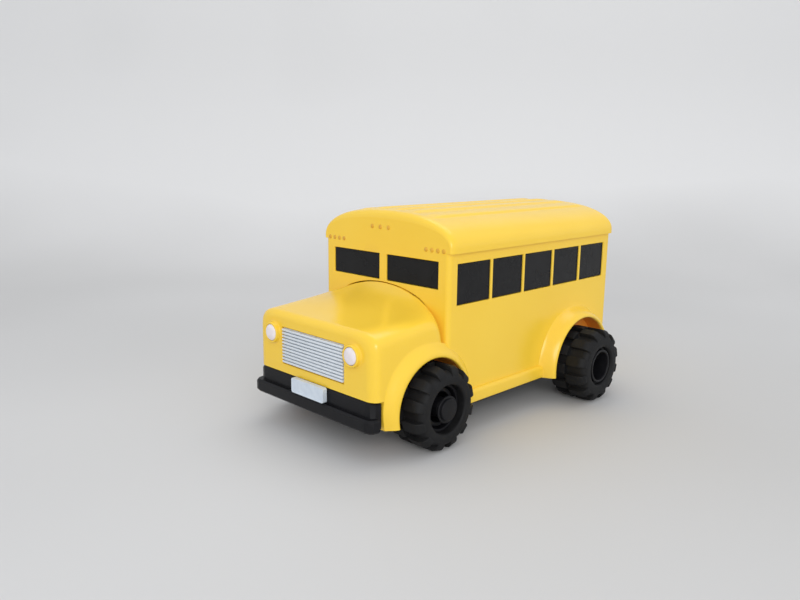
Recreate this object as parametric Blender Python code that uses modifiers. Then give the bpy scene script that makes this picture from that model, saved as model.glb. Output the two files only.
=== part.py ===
"""Toy school bus that follows a drawn line.

A yellow moulded shell sits on a black tub. Each rear wheel has its own motor and two-stage gear train,
so the bus steers by driving one side or the other. The front wheels turn freely on headed pins.
Front is -Y, the bus's left side is +X, and the wheels stand on z = 0.
"""

import math

import bmesh
import bpy
from mathutils import Matrix, Vector

MM = 0.001
FIT = 0.15 * MM
RUN = 0.10 * MM

# Layout of the whole bus
FRONT_OVERHANG = 17.2 * MM
WHEELBASE = 49.3 * MM
REAR_OVERHANG = 17.0 * MM

# Body shell
BODY_WIDTH = 38.0 * MM
BODY_HEIGHT = 33.0 * MM
BODY_WALL = 1.2 * MM
BODY_CORNER = 1.0 * MM
SILL_DROP = 2.18 * MM
ROOF_RISE = 6.75 * MM
ROOF_EAVE = 0.6 * MM
ROOF_EDGE = 1.4 * MM
ROOF_LIP = 0.2 * MM
ROOF_POWER = 2.35
ROOF_RIBS = 5
ROOF_RIB_PITCH = 5.5 * MM
ROOF_RIB_WIDTH = 1.4 * MM
ROOF_RIB_PROUD = 0.25 * MM
ROOF_RIB_SETBACK = 3.5 * MM
LAMP_RADIUS = 0.5 * MM
LAMP_PROUD = 0.25 * MM
LAMP_PITCH = 1.7 * MM
LAMP_DROP = 3.6 * MM

# Bonnet
HOOD_LENGTH = 19.6 * MM
HOOD_WIDTH = 37.0 * MM
HOOD_SHOULDER = 26.4 * MM
HOOD_NOSE_RISE = 18.95 * MM
HOOD_SHOULDER_CLIMB = 1.6 * MM
HOOD_COWL_SWEEP = 1.6 * MM
HOOD_CROWN = 2.0 * MM
HOOD_CORNER_DROP = 3.1 * MM
HOOD_CORNER_SWEEP = 8.0 * MM
HOOD_EDGE = 2.0 * MM
HOOD_SILL_RISE = 5.95 * MM

# Windows
WINDOW_COUNT = 5
WINDOW_GAP = 0.95 * MM
WINDOW_FRONT_MARGIN = 2.6 * MM
WINDOW_REAR_MARGIN = 3.1 * MM
WINDOW_RISE = 21.5 * MM
WINDOW_HEIGHT = 8.55 * MM
WINDSHIELD_MULLION = 2.16 * MM
WINDSHIELD_MARGIN = 2.92 * MM
WINDSHIELD_RISE = 24.75 * MM
WINDSHIELD_HEIGHT = 5.7 * MM
PANE_RECESS = 0.2 * MM
PANE_BACKING = 0.8 * MM
PANE_LAP = 0.5 * MM

# Face of the bonnet
GRILLE_WIDTH = 19.7 * MM
GRILLE_HEIGHT = 7.85 * MM
GRILLE_RISE = 7.9 * MM
GRILLE_SLATS = 11
GRILLE_SEAT = 0.5 * MM
GRILLE_SLAT_DEPTH = 0.25 * MM
HEADLIGHT_RADIUS = 1.75 * MM
HEADLIGHT_SPREAD = 25.4 * MM
HEADLIGHT_RISE = 14.2 * MM
HEADLIGHT_BEZEL = 0.45 * MM
HEADLIGHT_PROUD = 1.0 * MM
HEADLIGHT_DEPTH = 1.5 * MM
HEADLIGHT_DOME = 0.35 * MM

# Wheels and arches
WHEEL_RADIUS = 8.63 * MM
WHEEL_WIDTH = 9.6 * MM
TYRE_LUGS = 12
LUG_HEIGHT = 1.0 * MM
LUG_SHARE = 0.54
LUG_FLANK = 0.08
TREAD_SPLIT = 0.3 * MM
TYRE_SHOULDER = 1.6 * MM
TYRE_SIDEWALL_DROP = 1.2 * MM
FRONT_TYRE_BORE = 5.0 * MM
REAR_TYRE_BORE = 4.0 * MM
HUB_INSET = 0.3 * MM
HUB_WEB = 1.6 * MM
HUB_RIM = 0.55 * MM
REAR_HUB_RIM = 1.3 * MM
HUB_BOSS_WALL = 0.75 * MM
FRONT_WHEEL_PROUD = 4.1 * MM
REAR_WHEEL_SINK = 0.2 * MM
FRONT_ARCH_GAP = 1.3 * MM
REAR_ARCH_GAP = 2.7 * MM
FRONT_ARCH_LEAD = 0.5 * MM
REAR_ARCH_LAG = 1.3 * MM
REAR_ARCH_DROP = 0.7 * MM
FRONT_FENDER_BAND = 2.2 * MM
REAR_FENDER_BAND = 1.8 * MM
FENDER_FLARE = 0.9 * MM
FENDER_EDGE = 0.7 * MM
FRONT_FENDER_PROUD = 1.0 * MM
REAR_FENDER_PROUD = 3.4 * MM
TUB_GAP = 0.6 * MM
REAR_TUB_DEPTH = 0.8 * MM
BOARD_PROUD = 0.9 * MM
BOARD_HEIGHT = 2.95 * MM
BOARD_EDGE = 0.7 * MM
PIN_RADIUS = 1.2 * MM
PIN_HEAD_RADIUS = 2.8 * MM
PIN_HEAD = 0.9 * MM
PIN_HEAD_SINK = 0.3 * MM
PIN_BOSS_WALL = 1.1 * MM

# Chassis tub and bumper
RIM_HEIGHT = 1.95 * MM
RIM_WALL = 1.2 * MM
RIM_INSET = 0.6 * MM
RIM_CHAMFER = 1.3 * MM
RIM_CHAMFER_SIDE = 2.6 * MM
SILL_GAP = 0.2 * MM
FLOOR = 0.9 * MM
NOSE_REACH = 8.0 * MM
BUMPER_PROUD = 1.4 * MM
BAND_PROUD = 0.25 * MM
BAND_INSET = 0.2 * MM
BAND_DEPTH = 2.0 * MM
BUMPER_RISE = 0.15 * MM
BAR_HEIGHT = 2.7 * MM
BAR_OVERHANG = 0.8 * MM
BUMPER_CORNER = 2.0 * MM
BUMPER_EDGE = 0.4 * MM
SHELF = 1.2 * MM
PLATE_WIDTH = 11.0 * MM
PLATE_HEIGHT = 3.1 * MM
PLATE_THICKNESS = 1.0 * MM

# Rear drive, one train on each side
GEAR_MODULE = 0.4 * MM
WHEEL_TEETH = 18
PINION_TEETH = 8
GEAR_BACKLASH = 0.03 * MM
GEAR_CENTRE_EXTRA = 0.06 * MM
GEAR_ADDENDUM = 0.85
GEAR_DEDENDUM = 1.1
PRESSURE_ANGLE = math.radians(20)
FIRST_STAGE_ANGLE = math.radians(145)
SECOND_STAGE_ANGLE = math.radians(200)
GEAR_FACE = 1.9 * MM
GEAR_LAYER_GAP = 0.3 * MM
GEAR_FLOOR_GAP = 0.28 * MM
AXLE_RADIUS = 0.9 * MM
AXLE_PRESS = 4.3 * MM
GEAR_PIN_RADIUS = 0.6 * MM
POST = 1.5 * MM
POST_GAP = 0.4 * MM
POST_MARGIN = 2.2 * MM
BELLY_WALL = 0.8 * MM
BELLY_EDGE = 0.4 * MM
MOTOR_RADIUS = 3.5 * MM
MOTOR_SPACING = 3.6 * MM
MOTOR_CAP = 0.9 * MM
MOTOR_NOSE_RADIUS = 1.2 * MM
MOTOR_NOSE = 0.25 * MM
MOTOR_SHAFT_RADIUS = 0.5 * MM
MOTOR_SHAFT_DEPTH = 2.0 * MM
CRADLE = 1.2 * MM
COVER = 1.0 * MM

# Battery box, switch and electronics
CELL_DIAMETER = 11.6 * MM
CELL_HEIGHT = 5.4 * MM
CELL_RIM = 0.4 * MM
CELL_STEP = 0.5 * MM
CELL_COUNT = 3
CELL_GAP = 0.3 * MM
CONTACT = 0.35 * MM
CONTACT_WIDTH = 6.0 * MM
CONTACT_TAB_WIDTH = 2.6 * MM
CONTACT_TAB = 1.5 * MM
BOX_WALL = 1.0 * MM
DOOR_EAR = 3.8 * MM
DOOR_EAR_WIDTH = 4.4 * MM
DOOR_SCREW_BOSS = 4.0 * MM
BAY_GAP = 1.0 * MM
SWITCH_LENGTH = 8.6 * MM
SWITCH_WIDTH = 3.6 * MM
SWITCH_HEIGHT = 3.4 * MM
SLIDER_LENGTH = 1.8 * MM
SLIDER_WIDTH = 1.5 * MM
SLIDER_FLANGE = 0.4 * MM
SLIDER_FLANGE_HEIGHT = 0.7 * MM
SLIDER_TRAVEL = 2.0 * MM
SLIDER_PROUD = 0.8 * MM
BOARD = 1.0 * MM
BOARD_WIDTH = 15.4 * MM
BOARD_STANDOFF = 2.6 * MM
BOARD_RIB = 1.0 * MM
BOARD_MARGIN = 0.5 * MM
CHIP_LENGTH = 5.0 * MM
CHIP_WIDTH = 4.0 * MM
CHIP_HEIGHT = 1.5 * MM
CHIP_LEGS = 4
CHIP_LEG_PITCH = 1.27 * MM
CHIP_LEG_WIDTH = 0.4 * MM
CHIP_LEG_REACH = 1.0 * MM
SENSOR_RADIUS = 1.5 * MM
SENSOR_SPREAD = 4.6 * MM
SENSOR_SETBACK = 4.0 * MM
SENSOR_FLANGE = 0.3 * MM
SENSOR_RECESS = 0.3 * MM
WIRE_RADIUS = 0.35 * MM

# Screws
SCREW_RADIUS = 0.85 * MM
SCREW_HEAD_RADIUS = 1.7 * MM
SCREW_HEAD = 0.6 * MM
SCREW_LENGTH = 6.0 * MM
SCREW_BOSS_RADIUS = 2.1 * MM
FRONT_SCREW_X = 8.5 * MM
REAR_SCREW_INSET = 4.9 * MM
REAR_SCREW_SETBACK = 6.25 * MM
REAR_SCREW_SEAT = 0.8 * MM
SMALL_SCREW_RADIUS = 0.65 * MM
SMALL_SCREW_HEAD_RADIUS = 1.2 * MM
SMALL_SCREW_HEAD = 0.45 * MM
SMALL_SCREW_LENGTH = 3.5 * MM

SIDES = (("left", 1), ("right", -1))
OVERCUT = 2.0 * MM

# Places that follow from the sizes above
length = FRONT_OVERHANG + WHEELBASE + REAR_OVERHANG
bumper_y = -length / 2
rear_y = length / 2
front_axle_y = bumper_y + FRONT_OVERHANG
rear_axle_y = front_axle_y + WHEELBASE
axle_z = WHEEL_RADIUS
hood_y = bumper_y + BUMPER_PROUD
cab_y = hood_y + HOOD_LENGTH
tail_y = rear_y - ROOF_LIP
half_width = BODY_WIDTH / 2
sill_z = axle_z - SILL_DROP
eave_z = sill_z + BODY_HEIGHT
nose_z = sill_z + HOOD_NOSE_RISE
hood_sill_z = sill_z + HOOD_SILL_RISE

front_outer_x = half_width + FRONT_WHEEL_PROUD
front_inner_x = front_outer_x - WHEEL_WIDTH
rear_inner_x = half_width - REAR_WHEEL_SINK
front_arch_y = front_axle_y - FRONT_ARCH_LEAD
front_arch_r = WHEEL_RADIUS + FRONT_ARCH_GAP
rear_arch_y = rear_axle_y + REAR_ARCH_LAG
rear_arch_z = axle_z - REAR_ARCH_DROP
rear_arch_r = WHEEL_RADIUS + REAR_ARCH_GAP
front_tub_x = front_inner_x - TUB_GAP
front_tub_inner_x = front_tub_x - BODY_WALL
rear_tub_x = half_width - REAR_TUB_DEPTH
rear_tub_inner_x = rear_tub_x - BODY_WALL
notch_y = front_arch_y - front_arch_r - FRONT_FENDER_BAND - FIT

floor_z = sill_z - SILL_GAP - RIM_HEIGHT
floor_top = floor_z + FLOOR
floor_mid = floor_z + FLOOR / 2
rim_top = sill_z - SILL_GAP
pan_half = half_width - RIM_INSET
pan_nose_half = front_tub_inner_x - RIM_INSET
pan_front_y = front_axle_y - NOSE_REACH
pan_step_y = front_arch_y + front_arch_r + BODY_WALL + POST_GAP
pan_rear_y = rear_y - RIM_INSET
rear_screw_x = pan_half - REAR_SCREW_INSET
bumper_z = sill_z + BUMPER_RISE
shelf_top = bumper_z + SHELF
band_rear_y = hood_y + BAND_DEPTH

wheel_gear_r = WHEEL_TEETH * GEAR_MODULE / 2
pinion_gear_r = PINION_TEETH * GEAR_MODULE / 2
wheel_gear_tip = wheel_gear_r + GEAR_ADDENDUM * GEAR_MODULE
gear_distance = wheel_gear_r + pinion_gear_r + GEAR_CENTRE_EXTRA
cluster_y = rear_axle_y + gear_distance * math.cos(FIRST_STAGE_ANGLE)
cluster_z = axle_z + gear_distance * math.sin(FIRST_STAGE_ANGLE)
motor_y = cluster_y + gear_distance * math.cos(SECOND_STAGE_ANGLE)
motor_z = cluster_z + gear_distance * math.sin(SECOND_STAGE_ANGLE)
outer_post_x = rear_tub_inner_x - POST_GAP
fast_layer_x = outer_post_x - POST - GEAR_LAYER_GAP
slow_layer_x = fast_layer_x - GEAR_FACE - GEAR_LAYER_GAP
inner_post_x = slow_layer_x - GEAR_FACE - GEAR_LAYER_GAP
post_front_y = motor_y + MOTOR_RADIUS + GEAR_LAYER_GAP
post_rear_y = rear_axle_y + POST_MARGIN
post_top = cluster_z + wheel_gear_tip + POST_GAP
post_crown_y = cluster_y + POST_MARGIN
belly_top = axle_z - wheel_gear_tip - GEAR_FLOOR_GAP
belly_z = belly_top - BELLY_WALL
belly_half_x = slow_layer_x + POST_GAP
belly_half_y = wheel_gear_tip + POST_GAP
motor_front_x = inner_post_x
motor_back_x = MOTOR_SPACING / 2

switch_y = motor_y - MOTOR_RADIUS - BAY_GAP - SWITCH_WIDTH / 2
slider_flange_half = SLIDER_LENGTH / 2 + SLIDER_FLANGE
stack_half = (CELL_COUNT * CELL_HEIGHT + (CELL_COUNT - 1) * FIT) / 2
contact_x = stack_half + FIT
bay_half_x = contact_x + CONTACT + FIT
bay_half_y = CELL_DIAMETER / 2 + CELL_GAP
bay_y = switch_y - SWITCH_WIDTH / 2 - BAY_GAP - BOX_WALL - bay_half_y
cell_z = floor_top + CELL_GAP + CELL_DIAMETER / 2
bay_top = cell_z + CELL_DIAMETER / 2 + CELL_GAP
board_half_x = BOARD_WIDTH / 2
board_front_y = pan_front_y + BAY_GAP
board_rear_y = bay_y - bay_half_y - BOX_WALL - BAY_GAP
board_z = floor_top + BOARD_STANDOFF
board_top = board_z + BOARD
pin_boss_x = front_tub_inner_x - RIM_INSET - FIT
pin_boss_inner_x = board_half_x + BOARD_MARGIN
pin_head_x = front_outer_x - PIN_HEAD_SINK


def clear_scene():
    for item in list(bpy.data.objects):
        bpy.data.objects.remove(item, do_unlink=True)


clear_scene()
parts = bpy.data.collections.new("toy_school_bus")
cutters = bpy.data.collections.new("cutters")
bpy.context.scene.collection.children.link(parts)
bpy.context.scene.collection.children.link(cutters)


def make_material(name, colour, roughness, metallic=0.0):
    material = bpy.data.materials.new(name)
    material.use_nodes = True
    shader = material.node_tree.nodes["Principled BSDF"]
    shader.inputs["Base Color"].default_value = (*colour, 1.0)
    shader.inputs["Roughness"].default_value = roughness
    shader.inputs["Metallic"].default_value = metallic
    return material


YELLOW = make_material("yellow_plastic", (0.90, 0.52, 0.03), 0.35)
BLACK = make_material("black_plastic", (0.02, 0.02, 0.022), 0.5)
DARK_PANE = make_material("dark_pane", (0.012, 0.012, 0.014), 0.2)
RUBBER = make_material("tyre_rubber", (0.018, 0.018, 0.018), 0.8)
SILVER_FOIL = make_material("silver_foil", (0.62, 0.68, 0.72), 0.3, 0.6)
LAMP_WHITE = make_material("lamp_white", (0.85, 0.82, 0.84), 0.25)
PLATE_WHITE = make_material("plate_white", (0.62, 0.70, 0.80), 0.4)
STEEL = make_material("steel", (0.62, 0.62, 0.63), 0.3, 1.0)
GEAR_WHITE = make_material("gear_nylon", (0.80, 0.79, 0.74), 0.5)
CIRCUIT_GREEN = make_material("circuit_green", (0.02, 0.16, 0.06), 0.45)
CELL_STEEL = make_material("cell_steel", (0.70, 0.70, 0.69), 0.25, 1.0)
CLEAR_RESIN = make_material("clear_resin", (0.75, 0.76, 0.80), 0.1)
WIRE_RED = make_material("wire_red", (0.55, 0.02, 0.02), 0.5)
WIRE_BLACK = make_material("wire_black", (0.02, 0.02, 0.02), 0.5)


def place(name, mesh, material=None, location=(0, 0, 0), parent=None):
    """Make an object of a mesh: a part where it has a material, else a cutter."""
    item = bpy.data.objects.new(name, mesh)
    item.location = location
    item.parent = parent
    if material:
        mesh.materials.append(material)
        parts.objects.link(item)
    else:
        item.hide_render = True
        item.display_type = "WIRE"
        cutters.objects.link(item)
    return item


def shape(name, bm, material=None, location=(0, 0, 0), parent=None):
    """Turn a finished bmesh into an object."""
    bmesh.ops.recalc_face_normals(bm, faces=bm.faces)
    mesh = bpy.data.meshes.new(name)
    bm.to_mesh(mesh)
    bm.free()
    return place(name, mesh, material, location, parent)


def pivot(name, location):
    """Empty on a joint's axis, which carries the pieces that turn about it."""
    empty = bpy.data.objects.new(name, None)
    empty.location = location
    parts.objects.link(empty)
    return empty


def boolean(target, tool, operation):
    modifier = target.modifiers.new(tool.name, "BOOLEAN")
    modifier.operation = operation
    modifier.solver = "EXACT"
    modifier.object = tool


def add_box(bm, low, high, edge=0.0, only=None):
    """Box between two corners. Its edges, or those that only() picks, are rounded."""
    made = bmesh.ops.create_cube(bm, size=1.0)["verts"]
    size = Vector(high) - Vector(low)
    bmesh.ops.scale(bm, vec=size, verts=made)
    bmesh.ops.translate(bm, vec=(Vector(high) + Vector(low)) / 2, verts=made)
    if edge:
        edges = {e for v in made for e in v.link_edges if only is None or only(e)}
        bmesh.ops.bevel(bm, geom=list(edges), offset=edge, segments=2, profile=0.5, affect="EDGES")


def upright(edge):
    first, second = edge.verts
    return abs(first.co.z - second.co.z) > max(abs(first.co.x - second.co.x), abs(first.co.y - second.co.y))


TURN = {
    "X": Matrix.Rotation(math.radians(90), 4, "Y"),
    "Y": Matrix.Rotation(math.radians(-90), 4, "X"),
    "Z": Matrix.Identity(4),
}


def add_rod(bm, axis, centre, start, end, radius, segments=24, end_radius=None):
    """Cylinder or cone along an axis. The centre gives its place across the axis."""
    low, high = sorted((start, end))
    first, last = radius, radius if end_radius is None else end_radius
    if start > end:
        first, last = last, first
    made = bmesh.ops.create_cone(
        bm, cap_ends=True, segments=segments, radius1=first, radius2=last, depth=high - low
    )["verts"]
    middle = Vector(centre)
    middle["XYZ".index(axis)] = (low + high) / 2
    bmesh.ops.transform(bm, matrix=Matrix.Translation(middle) @ TURN[axis], verts=made)
    return made


SWING = {
    "X": Matrix(((0, 0, 1, 0), (1, 0, 0, 0), (0, 1, 0, 0), (0, 0, 0, 1))),
    "Y": Matrix(((1, 0, 0, 0), (0, 0, -1, 0), (0, 1, 0, 0), (0, 0, 0, 1))),
    "Z": Matrix.Identity(4),
}


def add_prism(bm, axis, loops, start, end):
    """Flat outline, with any holes, extruded along an axis. Outlines run in YZ, XZ or XY."""
    low, high = sorted((start, end))
    curve = bpy.data.curves.new("outline", "CURVE")
    curve.dimensions = "2D"
    curve.fill_mode = "BOTH"
    curve.extrude = (high - low) / 2
    for loop in loops:
        spline = curve.splines.new("POLY")
        spline.points.add(len(loop) - 1)
        spline.use_cyclic_u = True
        for point, (u, v) in zip(spline.points, loop):
            point.co = (u, v, 0, 1)
    holder = bpy.data.objects.new("outline", curve)
    mesh = bpy.data.meshes.new_from_object(holder)
    middle = Vector((0, 0, 0))
    middle["XYZ".index(axis)] = (low + high) / 2
    mesh.transform(Matrix.Translation(middle) @ SWING[axis])
    piece = bmesh.new()
    piece.from_mesh(mesh)
    bmesh.ops.remove_doubles(piece, verts=piece.verts, dist=1e-7)
    bmesh.ops.dissolve_limit(piece, angle_limit=0.01, verts=piece.verts, edges=piece.edges)
    piece.to_mesh(mesh)
    piece.free()
    bm.from_mesh(mesh)
    bpy.data.meshes.remove(mesh)
    bpy.data.objects.remove(holder)
    bpy.data.curves.remove(curve)


def add_loft(bm, rings, closed=False):
    """Skin through rings of equal point count. The ends are capped, or joined if closed."""
    made = [[bm.verts.new(point) for point in ring] for ring in rings]
    pairs = list(zip(made, made[1:]))
    if closed:
        pairs.append((made[-1], made[0]))
    for near, far in pairs:
        for i in range(len(near)):
            j = (i + 1) % len(near)
            bm.faces.new((near[i], near[j], far[j], far[i]))
    if not closed:
        bm.faces.new(made[0])
        bm.faces.new(made[-1])


def turned(name, axis, profile, material, location, parent=None, side=1, steps=16):
    """Shape turned about an axis from (along, radius) points, run the way that faces it outwards.

    A side of -1 mirrors it along the axis.
    """
    index = "XYZ".index(axis)
    across = (index + 1) % 3
    mesh = bpy.data.meshes.new(name)
    loop = [(side * along, radius) for along, radius in profile]
    area = sum(a * s - b * r for (a, r), (b, s) in zip(loop, loop[1:] + loop[:1]))
    if area < 0:
        loop.reverse()
    points = []
    for along, radius in loop:
        point = [0, 0, 0]
        point[index] = along
        point[across] = radius
        points.append(point)
    count = len(points)
    edges = [(i, i + 1) for i in range(count - 1)]
    if profile[0][1] > 0:
        edges.append((count - 1, 0))
    mesh.from_pydata(points, edges, [])
    item = place(name, mesh, material, location, parent)
    screw = item.modifiers.new("turn", "SCREW")
    screw.axis = axis
    screw.steps = steps
    screw.render_steps = steps
    screw.use_merge_vertices = True
    screw.merge_threshold = 1e-6
    return item


def circle(radius, count):
    step = 2 * math.pi / count
    return [(radius * math.cos(i * step), radius * math.sin(i * step)) for i in range(count)]


def roof_height(x, half, rise):
    """Height of the roof's arch above the eave at a distance from the middle."""
    share = min(abs(x) / half, 1.0)
    return rise * (1 - share**ROOF_POWER) ** (1 / ROOF_POWER)


def roof_outline(half, rise, base, steps=12):
    """Closed XZ outline of the roof's arch, from one eave over the crown to the other."""
    points = []
    for i in range(steps + 1):
        angle = math.pi * i / steps
        cosine, sine = math.cos(angle), math.sin(angle)
        x = half * math.copysign(abs(cosine) ** (2 / ROOF_POWER), cosine)
        points.append((x, eave_z + rise * abs(sine) ** (2 / ROOF_POWER)))
    return [(half, base)] + points + [(-half, base)]


def hood_ring(y, along, inset, base):
    """Cross-section of the bonnet. along runs from 0 at the nose to 1 at the cab."""
    half = HOOD_WIDTH / 2 - inset
    shoulder_x = HOOD_SHOULDER / 2 - inset
    shoulder_z = nose_z + HOOD_SHOULDER_CLIMB * along + HOOD_COWL_SWEEP * along**10 - inset
    crown = HOOD_CROWN * along**1.8
    corner_z = shoulder_z - HOOD_CORNER_DROP - HOOD_CORNER_SWEEP * along**6
    power = 2.2 - 0.95 * along**6
    side = [(half, base), (half, corner_z)]
    for i in range(1, 4):
        angle = math.pi / 2 * i / 4
        x = shoulder_x + (half - shoulder_x) * math.cos(angle) ** (2 / power)
        side.append((x, corner_z + (shoulder_z - corner_z) * math.sin(angle) ** (2 / power)))
    for i in range(5):
        share = 1 - i / 4
        side.append((shoulder_x * share, shoulder_z + crown * (1 - share**2)))
    other = [(-x, z) for x, z in reversed(side[:-1])]
    return [Vector((x, y, z)) for x, z in side + other]


def hood_rings(front, back, inset, base):
    """Bonnet sections from front to back. The outer skin has a rounded nose edge."""
    rings = []
    if not inset:
        for degrees in (0, 30, 60):
            angle = math.radians(degrees)
            y = front + HOOD_EDGE * (1 - math.cos(angle))
            rings.append(hood_ring(y, 0, HOOD_EDGE * (1 - math.sin(angle)), base))
        front += HOOD_EDGE
    for share in (0, 0.4, 0.7, 0.85, 0.93, 1):
        rings.append(hood_ring(front + (cab_y - front) * share, share, inset, base))
    rings.append(hood_ring(back, 1, inset, base))
    return rings


def slot_outline(centre, half, depth, steps=8):
    """Round-topped slot, open below, in YZ."""
    y, z = centre
    top = [
        (y + half * math.cos(math.pi * i / steps), z + half * math.sin(math.pi * i / steps))
        for i in range(steps + 1)
    ]
    return [(y + half, z - depth)] + top + [(y - half, z - depth)]


def shell_outer():
    """Solid outer form of the shell, before it is hollowed."""
    bm = bmesh.new()
    add_box(
        bm,
        (-half_width, cab_y, sill_z - OVERCUT),
        (half_width, tail_y, eave_z),
        BODY_CORNER,
        upright,
    )
    shell = shape("body_shell", bm, YELLOW)

    bm = bmesh.new()
    stations = [(0, 1), (0.3, 0.3), (1, 0)]
    rings = []
    low, high = cab_y - ROOF_LIP, rear_y
    steps = [(low + ROOF_EDGE * a, ROOF_EDGE * b) for a, b in stations]
    steps += [(high - ROOF_EDGE * a, ROOF_EDGE * b) for a, b in reversed(stations)]
    for y, inset in steps:
        outline = roof_outline(half_width + ROOF_EAVE - inset, ROOF_RISE - inset, eave_z - ROOF_EAVE)
        rings.append([Vector((x, y, z)) for x, z in outline])
    add_loft(bm, rings)
    boolean(shell, shape("roof_cap", bm), "UNION")

    bm = bmesh.new()
    for i in range(ROOF_RIBS):
        x = (i - (ROOF_RIBS - 1) / 2) * ROOF_RIB_PITCH
        half, rise = half_width + ROOF_EAVE, ROOF_RISE
        slope = (roof_height(x + ROOF_RIB_WIDTH / 2, half, rise)
                 - roof_height(x - ROOF_RIB_WIDTH / 2, half, rise)) / ROOF_RIB_WIDTH
        before = set(bm.verts)
        add_box(
            bm,
            (-ROOF_RIB_WIDTH / 2, cab_y + ROOF_RIB_SETBACK, -BODY_WALL / 2),
            (ROOF_RIB_WIDTH / 2, rear_y - ROOF_RIB_SETBACK, ROOF_RIB_PROUD),
        )
        made = [v for v in bm.verts if v not in before]
        tilt = Matrix.Rotation(-math.atan(slope), 4, "Y")
        lift = Matrix.Translation((x, 0, eave_z + roof_height(x, half, rise)))
        bmesh.ops.transform(bm, matrix=lift @ tilt, verts=made)
    boolean(shell, shape("roof_ribs", bm), "UNION")

    bm = bmesh.new()
    add_loft(bm, hood_rings(hood_y, cab_y + BODY_WALL / 2, 0, sill_z - OVERCUT))
    boolean(shell, shape("hood_block", bm), "UNION")

    bm = bmesh.new()
    arches = (
        (front_arch_y, axle_z, front_arch_r + FRONT_FENDER_BAND, FRONT_FENDER_PROUD),
        (rear_arch_y, rear_arch_z, rear_arch_r + REAR_FENDER_BAND, REAR_FENDER_PROUD),
    )
    for _, side in SIDES:
        for y, z, radius, proud in arches:
            made = add_rod(
                bm, "X", (0, y, z), side * (half_width - 2 * BODY_WALL), side * (half_width + proud),
                radius + FENDER_FLARE, 24, radius,
            )
            far = half_width + proud
            rim = {e for v in made for e in v.link_edges
                   if all(abs(abs(w.co.x) - far) < FIT for w in e.verts)}
            bmesh.ops.bevel(bm, geom=list(rim), offset=FENDER_EDGE, segments=1, profile=0.5, affect="EDGES")
    boolean(shell, shape("fender_discs", bm), "UNION")

    bm = bmesh.new()
    for _, side in SIDES:
        low, high = sorted((side * (half_width - BODY_WALL / 2), side * (half_width + BOARD_PROUD)))
        add_box(
            bm,
            (low, front_arch_y, sill_z - OVERCUT),
            (high, rear_arch_y, sill_z + BOARD_HEIGHT),
            BOARD_EDGE,
        )
    boolean(shell, shape("running_boards", bm), "UNION")

    bm = bmesh.new()
    lamp_z = eave_z + ROOF_RISE - LAMP_DROP
    for i in (-1, 0, 1):
        add_rod(bm, "Y", (i * LAMP_PITCH, 0, lamp_z), cab_y - ROOF_LIP - LAMP_PROUD, cab_y + BODY_WALL / 2,
                LAMP_RADIUS, 6)
    corner_lamp_x = half_width - WINDSHIELD_MARGIN - LAMP_PITCH
    corner_lamp_z = eave_z - ROOF_EAVE - LAMP_PITCH / 2
    for side in (-1, 1):
        for i in (0, 1):
            add_rod(bm, "Y", (side * (corner_lamp_x + i * LAMP_PITCH), 0, corner_lamp_z),
                    cab_y - LAMP_PROUD, cab_y + BODY_WALL / 2, LAMP_RADIUS, 6)
    for _, side in SIDES:
        place_xz = (side * HEADLIGHT_SPREAD / 2, 0, sill_z + HEADLIGHT_RISE)
        add_rod(bm, "Y", place_xz, hood_y - HEADLIGHT_PROUD, hood_y + BODY_WALL / 2,
                HEADLIGHT_RADIUS + HEADLIGHT_BEZEL, 16)
    boolean(shell, shape("lamp_bosses", bm), "UNION")
    return shell


def window_boxes(bm, inset, depth_low, depth_high, place_pane):
    """One box for each pane of a wall. place_pane turns (along, depth, height) into a corner."""
    for along_low, along_high, low, high in place_pane[1]:
        add_box(
            bm,
            place_pane[0](along_low + inset, depth_low, low + inset),
            place_pane[0](along_high - inset, depth_high, high - inset),
        )


def front_panes():
    low = sill_z + WINDSHIELD_RISE
    inner, outer = WINDSHIELD_MULLION / 2, half_width - WINDSHIELD_MARGIN
    return [(-outer, -inner, low, low + WINDSHIELD_HEIGHT), (inner, outer, low, low + WINDSHIELD_HEIGHT)]


def side_panes():
    low = sill_z + WINDOW_RISE
    start = cab_y + WINDOW_FRONT_MARGIN
    room = rear_y - WINDOW_REAR_MARGIN - start
    pitch = (room + WINDOW_GAP) / WINDOW_COUNT
    return [
        (start + i * pitch, start + (i + 1) * pitch - WINDOW_GAP, low, low + WINDOW_HEIGHT)
        for i in range(WINDOW_COUNT)
    ]


def wall_frames():
    """The four glazed walls: name, and a function from (along, depth, height) with depth going inwards."""
    return {
        "windshield_insert": (lambda a, d, h: (a, cab_y + d, h), front_panes()),
        "rear_window_insert": (lambda a, d, h: (a, tail_y - d, h), front_panes()),
        "window_strip_left": (lambda a, d, h: (half_width - d, a, h), side_panes()),
        "window_strip_right": (lambda a, d, h: (d - half_width, a, h), side_panes()),
    }


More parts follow.
